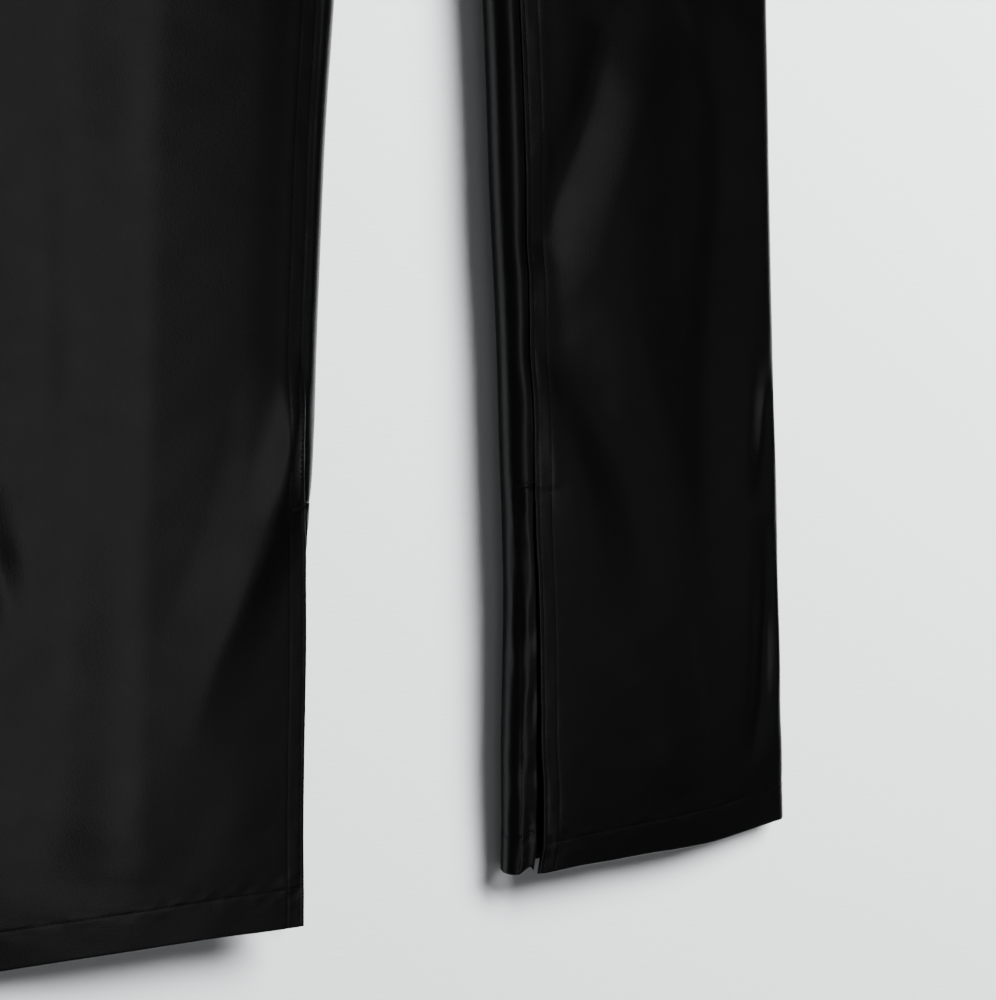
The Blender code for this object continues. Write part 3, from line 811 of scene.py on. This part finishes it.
@dataclass
class BandHalf:
    """Front or back half of the elastic waistband."""

    legs: tuple[LegForm, LegForm]
    face: Face
    gauge: ClothGauge
    name: str
    node: str
    bottom: float = 0.9500
    top: float = 1.0020
    gather: float = 0.00035
    grid: Grid | None = None

    def build(self, skin: bpy.types.Material, backing: bpy.types.Material) -> bpy.types.Object:
        """Build the band half's shell.

        Args:
            skin: finish of its outer face.
            backing: finish of its inner face.

        Returns:
            The band half's object.
        """
        ups = np.concatenate([[self.bottom, self.bottom + 0.0003, self.bottom + 0.0008],
                              np.linspace(self.bottom + 0.0016, self.top - 0.0016, 26),
                              [self.top - 0.0008, self.top - 0.0003, self.top]])
        outer, inner, distances = [], [], []
        for up in ups:
            halves = [self._half(leg, up) for leg in self.legs]
            halves[1][0][0, 0] = 0.0
            points, outward, places = (
                np.concatenate([halves[0][k][:0:-1] * sign, halves[1][k]])
                for k, sign in ((0, 1.0), (1, 1.0), (2, -1.0)))
            wall = np.full(len(points), self.gauge.band_wall)
            ends = np.minimum(places - places[0], places[-1] - places)
            drop = np.maximum(rounded_drop(np.full_like(places, min(up - self.bottom, self.top - up)),
                                           0.5 * wall), rounded_drop(ends, 0.25 * wall))
            inset = float(ease(0.0, 0.010, min(up - self.bottom, self.top - up)))
            waves = self.gather * drift(places, places * 0.0 + up * 0.12, 0.0065, 21)
            rise = waves * inset * ease(0.0, 0.010, ends) - drop
            rise -= self.gauge.groove * math.exp(-((up - self.bottom - 0.0040) / 0.0007) ** 2)
            face = points + outward * rise[:, None]
            outer.append(face)
            inner.append(face - outward * (wall - 2.0 * drop)[:, None])
            distances.append(places - places[0])
        shape = np.array(outer).shape[:2]
        self.grid = Grid(ups, np.array(distances), np.array(outer), np.array(inner),
                         np.ones(shape, bool), np.zeros(shape))
        return shell_mesh(self.name, self.grid, skin, backing)

    def _half(self, leg: LegForm, up: float) -> tuple[Array, Array, Array]:
        """Points, outward directions and places of one side's part of a row."""
        outline = leg.outline(up)
        upper = self.face is Face.FRONT
        if upper:
            start, lowest, highest = outline.seam, outline.seam + 0.0006, outline.length[-1]
            total = outline.length[-1] - 0.5 * OUTSEAM_GAP - start
        else:
            start, lowest, highest = outline.side_start, 0.0, outline.side_start - 0.0006
            total = start - 0.5 * OUTSEAM_GAP
        fold = np.array(BAND_FOLD_PLACES)
        places = np.concatenate([np.linspace(0.0, total - fold[0], 90)[:-1], total - fold])
        lengths = start + places if upper else start - places
        points, outward = leg.place(outline, lengths, lowest, highest)
        return points, outward, places

    def flat_size(self) -> tuple[float, float, float]:
        """Width, length and area of the band half as cut."""
        width = float(self.grid.from_edge[:, -1].max())
        height = self.top - self.bottom
        return width, height, width * height


# ------------------------------------------------------------------ sewing
@dataclass(frozen=True)
class StitchRow:
    """Lockstitches along a line on a piece of cloth."""

    name: str
    pitch: float = 0.0028
    gap: float = 0.0004
    radius: float = 0.00016
    rings: int = 5
    around: int = 6

    def build(self, path: Array, outward: Array, thread: bpy.types.Material) -> bpy.types.Object:
        """Sew along a path.

        Args:
            path: points on the cloth, close together.
            outward: directions out of the cloth there.
            thread: finish of the thread.

        Returns:
            One object with every stitch of the row.
        """
        steps = np.linalg.norm(np.diff(path, axis=0), axis=1)
        reach = np.concatenate([[0.0], np.cumsum(steps)])
        points, faces = [], []
        for k in range(int(reach[-1] / self.pitch)):
            start = k * self.pitch + 0.5 * self.gap
            places = np.linspace(start, start + self.pitch - self.gap, self.rings)
            spine = np.column_stack([np.interp(places, reach, path[:, i]) for i in range(3)])
            up = np.column_stack([np.interp(places, reach, outward[:, i]) for i in range(3)])
            self.stitch(spine, up, points, faces)
        return thread_mesh(self.name, points, faces, thread)

    def stitch(self, spine: Array, up: Array, points: list, faces: list) -> None:
        """Add one stitch, raised in its middle and sunk at its ends."""
        share = np.linspace(-1.0, 1.0, self.rings)
        lift = 0.7 * self.radius - 1.5 * self.radius * share**4
        width = self.radius * np.sqrt(np.clip(1.0 - 0.75 * share**4, 0.05, 1.0))
        way = spine[-1] - spine[0]
        way = way / np.linalg.norm(way)
        first = len(points)
        for k in range(self.rings):
            side = np.cross(way, up[k])
            side = side / np.linalg.norm(side)
            centre = spine[k] + up[k] * lift[k]
            for j in range(self.around):
                angle = 2.0 * math.pi * j / self.around
                turn = side * math.cos(angle) + up[k] * math.sin(angle)
                points.append(centre + turn * width[k])
        for k in range(self.rings - 1):
            for j in range(self.around):
                a = first + k * self.around + j
                b = first + k * self.around + (j + 1) % self.around
                faces.append([a, b, b + self.around, a + self.around])
        faces.append([first + j for j in range(self.around)][::-1])
        last = first + (self.rings - 1) * self.around
        faces.append([last + j for j in range(self.around)])


def thread_mesh(name: str, points: list, faces: list,
                thread: bpy.types.Material) -> bpy.types.Object:
    """Make one object of thread.

    Args:
        name: its name.
        points: all its points.
        faces: all its faces, as lists of point numbers.
        thread: its finish.

    Returns:
        The object, linked to the scene.
    """
    mesh = bpy.data.meshes.new(name)
    mesh.from_pydata([tuple(p) for p in points], [], faces)
    mesh.materials.append(thread)
    mesh.shade_smooth()
    mesh.update()
    thing = bpy.data.objects.new(name, mesh)
    bpy.context.scene.collection.objects.link(thing)
    return thing


@dataclass
class Sewing:
    """All the visible stitches on one leg."""

    side: Side
    front: ClothPanel
    back: ClothPanel
    thread: bpy.types.Material
    step: float = 0.0006

    def build(self) -> dict[str, list[bpy.types.Object]]:
        """Sew the leg's seams, slit edges and hems; pieces by panel name."""
        gauge = self.front.gauge
        word = self.side.name.lower()
        front = [
            self._lengthwise(self.front, f"inseam_row_1_{word}", gauge.first_row, 0.003, 0.724),
            self._lengthwise(self.front, f"inseam_row_2_{word}", gauge.second_row, 0.003, 0.724),
            self._across(self.front, f"hem_row_front_{word}"),
        ]
        back = [
            self._lengthwise(self.back, f"slit_row_back_{word}", gauge.second_row, 0.003, 0.2120),
            self._across(self.back, f"hem_row_back_{word}"),
        ]
        tacked, rows = (self.back, back) if self.side is Side.LEFT else (self.front, front)
        rows.append(self._bar(tacked, f"bar_tack_{word}"))
        return {self.front.name: front, self.back.name: back}

    def _lengthwise(self, panel: ClothPanel, name: str, from_edge: float, start: float,
                    end: float) -> bpy.types.Object:
        """Sew a row along the leg at one distance from the panel's edge."""
        ups = np.arange(start, end, self.step)
        places = np.full_like(ups, from_edge)
        return self._sew(panel, name, ups, places)

    def _across(self, panel: ClothPanel, name: str) -> bpy.types.Object:
        """Sew a row across the leg along the hem."""
        width = panel.grid.from_edge[0, -1]
        places = np.arange(0.0016, width - 0.0016, self.step)
        if panel.face is Face.FRONT:
            ups = panel.hem_stitch(places / width)
        else:
            ups = np.full_like(places, panel.leg.back_hem_stitch_up)
        return self._sew(panel, name, ups, places)

    def _sew(self, panel: ClothPanel, name: str, ups: Array, places: Array) -> bpy.types.Object:
        """Sew along heights and distances from the edge."""
        path = panel.grid.at(ups, places)
        return StitchRow(name).build(path, panel.grid.outward(ups, places), self.thread)

    def _bar(self, panel: ClothPanel, name: str) -> bpy.types.Object:
        """Sew the bar tack across the top of the slit."""
        places = np.linspace(0.0004, 0.0096, 22)
        points: list = []
        faces: list = []
        row = StitchRow(name, radius=0.00015)
        for k, place in enumerate(places):
            lean = 0.0002 if k % 2 else -0.0002
            ups = np.linspace(SLIT_LENGTH - 0.0018, SLIT_LENGTH - 0.0004, row.rings)
            across = np.linspace(place - lean, place + lean, row.rings)
            spine = panel.grid.at(ups, np.clip(across, 0.0, None))
            outward = panel.grid.outward(ups, np.clip(across, 0.0, None))
            row.stitch(spine + outward * 0.00006, outward, points, faces)
        return thread_mesh(name, points, faces, self.thread)


# ------------------------------------------------------------------ garment
@dataclass
class Leggings:
    """The whole garment: four panels, two band halves and their sewing."""

    legs: dict[Side, LegForm]
    gauge: ClothGauge = field(default_factory=ClothGauge)

    def build(self) -> None:
        """Build, dress and declare every piece."""
        skin = FauxLeather().material()
        band_skin = FauxLeather(name="band_leather").material()
        backing = KnitBacking().material()
        thread = Thread().material()
        for side, leg in self.legs.items():
            word = side.name.lower()
            front = ClothPanel(leg, Face.FRONT, self.gauge, f"cloth_front_{word}",
                               f"front_{word}_leg")
            back = ClothPanel(leg, Face.BACK, self.gauge, f"cloth_back_{word}",
                              f"back_{word}_leg")
            things = {panel.name: panel.build(skin, backing) for panel in (front, back)}
            sewn = Sewing(side, front, back, thread).build()
            for panel in (front, back):
                self._declare(panel, things[panel.name], sewn[panel.name])
        pair = (self.legs[Side.RIGHT], self.legs[Side.LEFT])
        for face in Face:
            band = BandHalf(pair, face, self.gauge, f"cloth_band_{face.value}",
                            f"waistband_{face.value}")
            thing = band.build(band_skin, band_skin)
            self._declare(band, thing, [self._band_row(band, thread)])

    def _band_row(self, band: BandHalf, thread: bpy.types.Material) -> bpy.types.Object:
        """Sew the row just above the band's lower edge."""
        width = band.grid.from_edge[:, -1].min()
        places = np.arange(0.0020, width - 0.0020, 0.0008)
        ups = np.full_like(places, band.bottom + 0.0040)
        return StitchRow(f"band_row_{band.face.value}", pitch=0.0032).build(
            band.grid.at(ups, places), band.grid.outward(ups, places), thread)

    def _declare(self, part: ClothPanel | BandHalf, thing: bpy.types.Object,
                 sewn: list[bpy.types.Object]) -> None:
        """Say what a piece is, what it replaces and what is sewn on it.

        Args:
            part: the panel or band half.
            thing: its object.
            sewn: the rows of stitches on it.
        """
        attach(thing, "root")
        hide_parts(part.node)
        for row in sewn:
            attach(row, "root")
        width, length, area = part.flat_size()
        LOG.info("%s: %d faces, %d rows of stitches, cut %.3f by %.3f m, %.4f m2", thing.name,
                 len(thing.data.polygons), len(sewn), width, length, area)


# ------------------------------------------------------------------ studio
@dataclass(frozen=True)
class SoftLamp:
    """A soft box aimed at the garment, at angles in degrees."""

    name: str
    turn: float
    rise: float
    distance: float
    size: tuple[float, float]
    power: float
    mirrored: bool = True
    lights: bool = True

    def build(self) -> None:
        """Hang the lamp."""
        light = bpy.data.lights.new(self.name, "AREA")
        light.shape = "RECTANGLE"
        light.size, light.size_y = self.size
        light.energy = self.power
        turn, rise = math.radians(self.turn), math.radians(self.rise)
        flat = math.cos(rise) * self.distance
        spot = (flat * math.cos(turn), flat * math.sin(turn), math.sin(rise) * self.distance)
        aim = Matrix.Rotation(turn + 0.5 * math.pi, 4, "Z") @ Matrix.Rotation(
            0.5 * math.pi - rise, 4, "X")
        lamp = bpy.data.objects.new(self.name, light)
        lamp.matrix_world = Matrix.Translation(spot) @ aim
        lamp.visible_glossy = self.mirrored
        lamp.visible_diffuse = self.lights
        bpy.context.scene.collection.objects.link(lamp)


@dataclass(frozen=True)
class RoomPatch:
    """A soft-edged brighter patch of the room, round one direction."""

    way: tuple[float, float, float]
    edges: tuple[float, float]
    level: float

    def strength(self, tree: bpy.types.NodeTree, place: bpy.types.Node) -> bpy.types.NodeSocket:
        """Add the patch's nodes, and give the socket with its strength."""
        toward = tree.nodes.new("ShaderNodeVectorMath")
        toward.operation = "DOT_PRODUCT"
        toward.inputs[1].default_value = self.way
        patch = tree.nodes.new("ShaderNodeMapRange")
        patch.interpolation_type = "SMOOTHSTEP"
        patch.inputs["From Min"].default_value = self.edges[0]
        patch.inputs["From Max"].default_value = self.edges[1]
        patch.inputs["To Max"].default_value = self.level
        tree.links.new(place.outputs["Generated"], toward.inputs[0])
        tree.links.new(toward.outputs["Value"], patch.inputs["Value"])
        return patch.outputs["Result"]


@dataclass(frozen=True)
class Studio:
    """Surface, camera and light of the photo."""

    eye: tuple[float, float, float] = (-0.3844, -0.1126, 0.8409)
    turn: float = math.radians(27.54)
    tilt: float = math.radians(-10.69)
    roll: float = math.radians(-0.05)
    lens: float = 65.0
    sensor: float = 36.0
    surface_size: float = 8.0
    surface_down: float = 0.0006
    lamps: tuple[SoftLamp, ...] = (
        SoftLamp("key", turn=42.0, rise=35.0, distance=2.5, size=(2.0, 0.8), power=440.0,
                 mirrored=False),
        SoftLamp("ceiling", turn=180.0, rise=88.0, distance=1.6, size=(3.2, 0.62), power=15.5,
                 lights=False),
    )
    room_level: float = 0.06
    patches: tuple[RoomPatch, ...] = (
        RoomPatch(way=(0.50, -0.20, 0.84), edges=(0.930, 0.992), level=0.50),
        RoomPatch(way=(0.93, 0.0, -0.37), edges=(0.82, 0.96), level=1.30),
        RoomPatch(way=(-0.74, -0.10, 0.665), edges=(0.80, 0.97), level=0.18),
    )

    def build(self) -> None:
        """Set up the surface, the lights and the camera."""
        self._surface()
        self._lights()
        self._camera()

    def _surface(self) -> None:
        """Lay the surface just under the garment."""
        half = 0.5 * self.surface_size
        mesh = bpy.data.meshes.new("surface")
        corners = [(-half, -half), (half, -half), (half, half), (-half, half)]
        mesh.from_pydata([(x, y, -self.surface_down) for x, y in corners], [], [(0, 1, 2, 3)])
        mesh.materials.append(PaleSurface().material())
        thing = bpy.data.objects.new("surface", mesh)
        bpy.context.scene.collection.objects.link(thing)

    def _lights(self) -> None:
        """Add the soft lamps, a weak even fill and the room's brighter patches."""
        for lamp in self.lamps:
            lamp.build()
        world = bpy.context.scene.world or bpy.data.worlds.new("world")
        bpy.context.scene.world = world
        world.use_nodes = True
        tree = world.node_tree
        sky = tree.nodes["Background"]
        sky.inputs["Color"].default_value = (0.97, 0.985, 1.0, 1.0)
        place = tree.nodes.new("ShaderNodeTexCoord")
        level = tree.nodes.new("ShaderNodeValue")
        level.outputs[0].default_value = self.room_level
        total = level.outputs[0]
        for patch in self.patches:
            added = tree.nodes.new("ShaderNodeMath")
            added.operation = "ADD"
            tree.links.new(total, added.inputs[0])
            tree.links.new(patch.strength(tree, place), added.inputs[1])
            total = added.outputs["Value"]
        tree.links.new(total, sky.inputs["Strength"])

    def _camera(self) -> None:
        """Place the camera at the photo's angle."""
        data = bpy.data.cameras.new("camera")
        data.lens = self.lens
        data.sensor_width = self.sensor
        camera = bpy.data.objects.new("camera", data)
        view = (Matrix.Rotation(-self.turn, 4, "Y") @ Matrix.Rotation(self.tilt, 4, "X")
                @ Matrix.Rotation(self.roll, 4, "Z"))
        camera.matrix_world = Matrix.Translation(self.eye) @ view
        bpy.context.scene.collection.objects.link(camera)
        bpy.context.scene.camera = camera


# ------------------------------------------------------------------ sizes
UPPER_SECTIONS = (
    Section(0.660, 0.0182, 0.2135, 0.0065, 0.0075, 0.0235, 0.0275, 0.0275, 0.0205, 0.0110, 0.0055),
    Section(0.700, 0.0112, 0.2146, 0.0042, 0.0050, 0.0230, 0.0270, 0.0272, 0.0205, 0.0110, 0.0055),
    Section(0.725, 0.0058, 0.2150, 0.0026, 0.0030, 0.0225, 0.0265, 0.0270, 0.0205, 0.0110, 0.0055),
    Section(0.738, 0.0020, 0.2151, 0.0012, 0.0012, 0.0222, 0.0262, 0.0268, 0.0205, 0.0110, 0.0055),
    Section(0.746, 0.0002, 0.2151, 0.0002, 0.0002, 0.0220, 0.0260, 0.0266, 0.0205, 0.0110, 0.0055),
    Section(0.800, 0.0002, 0.2138, 0.0001, 0.0001, 0.0222, 0.0250, 0.0255, 0.0200, 0.0110, 0.0055),
    Section(0.860, 0.0002, 0.2050, 0.0001, 0.0001, 0.0222, 0.0235, 0.0235, 0.0190, 0.0115, 0.0058),
    Section(0.910, 0.0002, 0.1885, 0.0001, 0.0001, 0.0212, 0.0220, 0.0215, 0.0180, 0.0120, 0.0060),
    Section(0.950, 0.0002, 0.1710, 0.0001, 0.0001, 0.0205, 0.0207, 0.0200, 0.0175, 0.0130, 0.0065),
    Section(1.002, 0.0002, 0.1660, 0.0001, 0.0001, 0.0200, 0.0200, 0.0192, 0.0172, 0.0130, 0.0065),
)

LEFT_LEG = LegForm(
    side=Side.LEFT,
    sections=(
        Section(0.000, 0.0520, 0.2432, 0.0180, 0.0100, 0.0160, 0.0192, 0.0180, 0.0150, 0.0105, 0.0055),
        Section(0.020, 0.0522, 0.2405, 0.0198, 0.0105, 0.0175, 0.0208, 0.0200, 0.0169, 0.0133, 0.0060),
        Section(0.045, 0.0519, 0.2380, 0.0195, 0.0110, 0.0190, 0.0222, 0.0215, 0.0184, 0.0159, 0.0066),
        Section(0.074, 0.0515, 0.2348, 0.0175, 0.0110, 0.0205, 0.0236, 0.0225, 0.0195, 0.0179, 0.0072),
        Section(0.100, 0.0519, 0.2329, 0.0163, 0.0110, 0.0216, 0.0242, 0.0230, 0.0200, 0.0194, 0.0075),
        Section(0.155, 0.0526, 0.2287, 0.0138, 0.0110, 0.0228, 0.0252, 0.0235, 0.0206, 0.0204, 0.0079),
        Section(0.200, 0.0517, 0.2262, 0.0122, 0.0110, 0.0235, 0.0255, 0.0240, 0.0210, 0.0207, 0.0080),
        Section(0.230, 0.0505, 0.2242, 0.0125, 0.0110, 0.0235, 0.0258, 0.0245, 0.0212, 0.0207, 0.0080),
        Section(0.300, 0.0483, 0.2196, 0.0122, 0.0110, 0.0235, 0.0262, 0.0250, 0.0215, 0.0207, 0.0080),
        Section(0.372, 0.0445, 0.2154, 0.0132, 0.0110, 0.0240, 0.0265, 0.0255, 0.0217, 0.0207, 0.0080),
        Section(0.432, 0.0424, 0.2122, 0.0130, 0.0110, 0.0240, 0.0268, 0.0258, 0.0218, 0.0207, 0.0080),
        Section(0.480, 0.0400, 0.2099, 0.0125, 0.0110, 0.0240, 0.0270, 0.0262, 0.0220, 0.0202, 0.0078),
        Section(0.540, 0.0345, 0.2091, 0.0110, 0.0105, 0.0240, 0.0275, 0.0270, 0.0222, 0.0180, 0.0072),
        Section(0.600, 0.0272, 0.2106, 0.0090, 0.0095, 0.0240, 0.0278, 0.0275, 0.0220, 0.0151, 0.0066),
    ) + UPPER_SECTIONS,
    hem=(
        EdgePoint(0.052, 0.0004), EdgePoint(0.058, 0.0005), EdgePoint(0.0655, 0.0042),
        EdgePoint(0.0695, -0.0002), EdgePoint(0.0745, -0.0008), EdgePoint(0.085, -0.0002),
        EdgePoint(0.095, 0.0002), EdgePoint(0.116, -0.0005), EdgePoint(0.139, -0.0012),
        EdgePoint(0.161, -0.0025), EdgePoint(0.185, -0.0034), EdgePoint(0.208, -0.0026),
        EdgePoint(0.233, -0.0022), EdgePoint(0.246, -0.0030)),
    slit=(
        SlitPoint(0.0000, 0.0022), SlitPoint(0.0120, 0.0026), SlitPoint(0.0300, 0.0034),
        SlitPoint(0.0470, 0.0030), SlitPoint(0.0750, 0.0018), SlitPoint(0.1050, 0.0012),
        SlitPoint(0.1550, 0.0010), SlitPoint(0.1900, 0.0006), SlitPoint(0.2150, 0.0005),
        SlitPoint(0.2200, 0.0005)),
    hem_stitch_up=(0.0175, 0.0235),
    creases=(
        Crease(((0.1030, 0.4500), (0.1000, 0.4370), (0.0955, 0.4173), (0.0857, 0.3920),
                (0.0758, 0.3670), (0.0690, 0.3469)), -0.0038, 0.028, 0.018, crest=0.004,
               start=0.7, end=0.8),
        Crease(((0.1600, 0.4700), (0.1500, 0.4400), (0.1378, 0.4178), (0.1164, 0.3665),
                (0.1190, 0.3242), (0.1344, 0.2603), (0.1483, 0.2044), (0.1613, 0.1467)),
               0.0050, 0.100, 0.036, crest=0.012, start=0.7, end=0.35, full=0.3),
        Crease(((0.1610, 0.4387), (0.1717, 0.4183), (0.1756, 0.3659), (0.1718, 0.3125),
                (0.1680, 0.2583), (0.1693, 0.2026), (0.1720, 0.1000)), -0.0036, 0.025, 0.046,
               crest=0.010, start=0.6),
        Crease(((0.0722, 0.2640), (0.0786, 0.2478), (0.0855, 0.2322), (0.0965, 0.2102),
                (0.1030, 0.1874), (0.1052, 0.1646), (0.1070, 0.1420)), 0.0018, 0.024, 0.022,
               crest=0.006, start=0.9, full=0.2),
        Crease(((0.0756, 0.2898), (0.0976, 0.2628), (0.1046, 0.2466), (0.1140, 0.2300),
                (0.1226, 0.2080), (0.1275, 0.1855), (0.1360, 0.1300)), -0.0032, 0.032, 0.026,
               crest=0.008, start=0.7, full=0.4),
        Crease(((0.216, 0.280), (0.2155, 0.250), (0.2135, 0.225), (0.208, 0.193)), -0.0038,
               0.009, 0.012, crest=0.0025, start=0.3),
        Crease(((0.217, 0.180), (0.2185, 0.133), (0.2185, 0.081), (0.212, 0.040)), -0.0038,
               0.009, 0.012, crest=0.0025, start=0.3, full=0.5),
        Crease(((0.140, 0.090), (0.150, 0.049), (0.158, 0.030)), 0.0016, 0.024, 0.024,
               crest=0.008, start=0.5, full=0.5),
        Crease(((0.112, 0.150), (0.124, 0.110), (0.130, 0.070)), 0.0016, 0.026, 0.026,
               crest=0.008, start=0.3, full=0.5),
        Crease(((0.060, 0.560), (0.110, 0.510)), 0.0022, 0.026, 0.026, start=0.5),
        Crease(((0.030, 0.716), (0.120, 0.690)), 0.0024, 0.020, 0.024, start=0.9),
        Crease(((0.050, 0.760), (0.150, 0.790)), -0.0024, 0.024, 0.024),
        Crease(((0.200, 0.660), (0.140, 0.610)), 0.0020, 0.026, 0.026),
    ),
)

RIGHT_LEG = LegForm(
    side=Side.RIGHT,
    sections=(
        Section(0.000, 0.0672, 0.2432, 0.0023, 0.0022, 0.0215, 0.0212, 0.0199, 0.0150, 0.0105, 0.0055),
        Section(0.020, 0.0668, 0.2405, 0.0024, 0.0022, 0.0220, 0.0225, 0.0216, 0.0168, 0.0131, 0.0060),
        Section(0.045, 0.0665, 0.2380, 0.0024, 0.0022, 0.0222, 0.0236, 0.0231, 0.0181, 0.0154, 0.0066),
        Section(0.089, 0.0651, 0.2338, 0.0024, 0.0022, 0.0222, 0.0241, 0.0243, 0.0191, 0.0177, 0.0073),
        Section(0.150, 0.0628, 0.2291, 0.0023, 0.0022, 0.0222, 0.0243, 0.0248, 0.0198, 0.0192, 0.0079),
        Section(0.192, 0.0618, 0.2266, 0.0024, 0.0026, 0.0222, 0.0250, 0.0252, 0.0201, 0.0195, 0.0080),
        Section(0.213, 0.0604, 0.2252, 0.0040, 0.0050, 0.0222, 0.0251, 0.0253, 0.0203, 0.0195, 0.0080),
        Section(0.230, 0.0576, 0.2242, 0.0072, 0.0090, 0.0224, 0.0253, 0.0256, 0.0204, 0.0195, 0.0080),
        Section(0.256, 0.0556, 0.2226, 0.0090, 0.0105, 0.0226, 0.0255, 0.0258, 0.0205, 0.0195, 0.0080),
        Section(0.300, 0.0533, 0.2196, 0.0096, 0.0110, 0.0228, 0.0258, 0.0260, 0.0207, 0.0195, 0.0080),
        Section(0.344, 0.0506, 0.2170, 0.0098, 0.0110, 0.0230, 0.0259, 0.0262, 0.0208, 0.0195, 0.0080),
        Section(0.401, 0.0468, 0.2136, 0.0102, 0.0110, 0.0232, 0.0262, 0.0265, 0.0210, 0.0195, 0.0080),
        Section(0.458, 0.0416, 0.2108, 0.0106, 0.0110, 0.0235, 0.0265, 0.0268, 0.0211, 0.0193, 0.0079),
        Section(0.480, 0.0396, 0.2099, 0.0108, 0.0110, 0.0236, 0.0266, 0.0270, 0.0212, 0.0190, 0.0078),
        Section(0.540, 0.0342, 0.2091, 0.0105, 0.0105, 0.0240, 0.0273, 0.0275, 0.0216, 0.0171, 0.0072),
        Section(0.600, 0.0270, 0.2106, 0.0090, 0.0095, 0.0240, 0.0277, 0.0277, 0.0217, 0.0146, 0.0066),
    ) + UPPER_SECTIONS,
    hem=(
        EdgePoint(0.050, -0.0006), EdgePoint(0.070, -0.0004), EdgePoint(0.092, 0.0007),
        EdgePoint(0.113, 0.0023), EdgePoint(0.144, 0.0036), EdgePoint(0.190, 0.0050),
        EdgePoint(0.246, 0.0060)),
    slit=(
        SlitPoint(0.0000, 0.0130), SlitPoint(0.0450, 0.0140), SlitPoint(0.1200, 0.0130),
        SlitPoint(0.1700, 0.0100), SlitPoint(0.1950, 0.0050), SlitPoint(0.2120, 0.0010),
        SlitPoint(0.2200, 0.0005)),
    hem_stitch_up=(0.0219, 0.0219),
    creases=(
        Crease(((0.0700, 0.2660), (0.0740, 0.2480), (0.0795, 0.2258), (0.0865, 0.2064),
                (0.0948, 0.1870), (0.1030, 0.1677), (0.1125, 0.1480), (0.1200, 0.1288),
                (0.1290, 0.1040)), 0.0036, 0.031, 0.019, crest=0.0025, start=0.6, full=0.3),
        Crease(((0.0690, 0.2720), (0.0735, 0.2500), (0.0790, 0.2280), (0.0850, 0.2100)),
               0.0024, 0.015, 0.011, crest=0.002, start=0.5, full=0.35),
        Crease(((0.186, 0.400), (0.190, 0.280), (0.192, 0.160)), 0.0016, 0.030, 0.030),
        Crease(((0.221, 0.236), (0.214, 0.200), (0.208, 0.170)), -0.0020, 0.008, 0.012,
               crest=0.002, start=0.6),
        Crease(((0.160, 0.080), (0.170, 0.040)), 0.0010, 0.030, 0.030, crest=0.012, start=0.6),
        Crease(((0.060, 0.540), (0.105, 0.500)), 0.0022, 0.026, 0.026, start=0.5),
        Crease(((0.030, 0.712), (0.115, 0.694)), 0.0024, 0.020, 0.024, start=0.9),
        Crease(((0.045, 0.764), (0.145, 0.786)), -0.0024, 0.024, 0.024),
        Crease(((0.198, 0.650), (0.136, 0.604)), 0.0020, 0.026, 0.026),
    ),
)


def main() -> None:
    """Build the garment and the studio."""
    logging.basicConfig(level=logging.INFO, format="%(message)s")
    Leggings({Side.RIGHT: RIGHT_LEG, Side.LEFT: LEFT_LEG}).build()
    Studio().build()


if __name__ == "__main__":
    main()
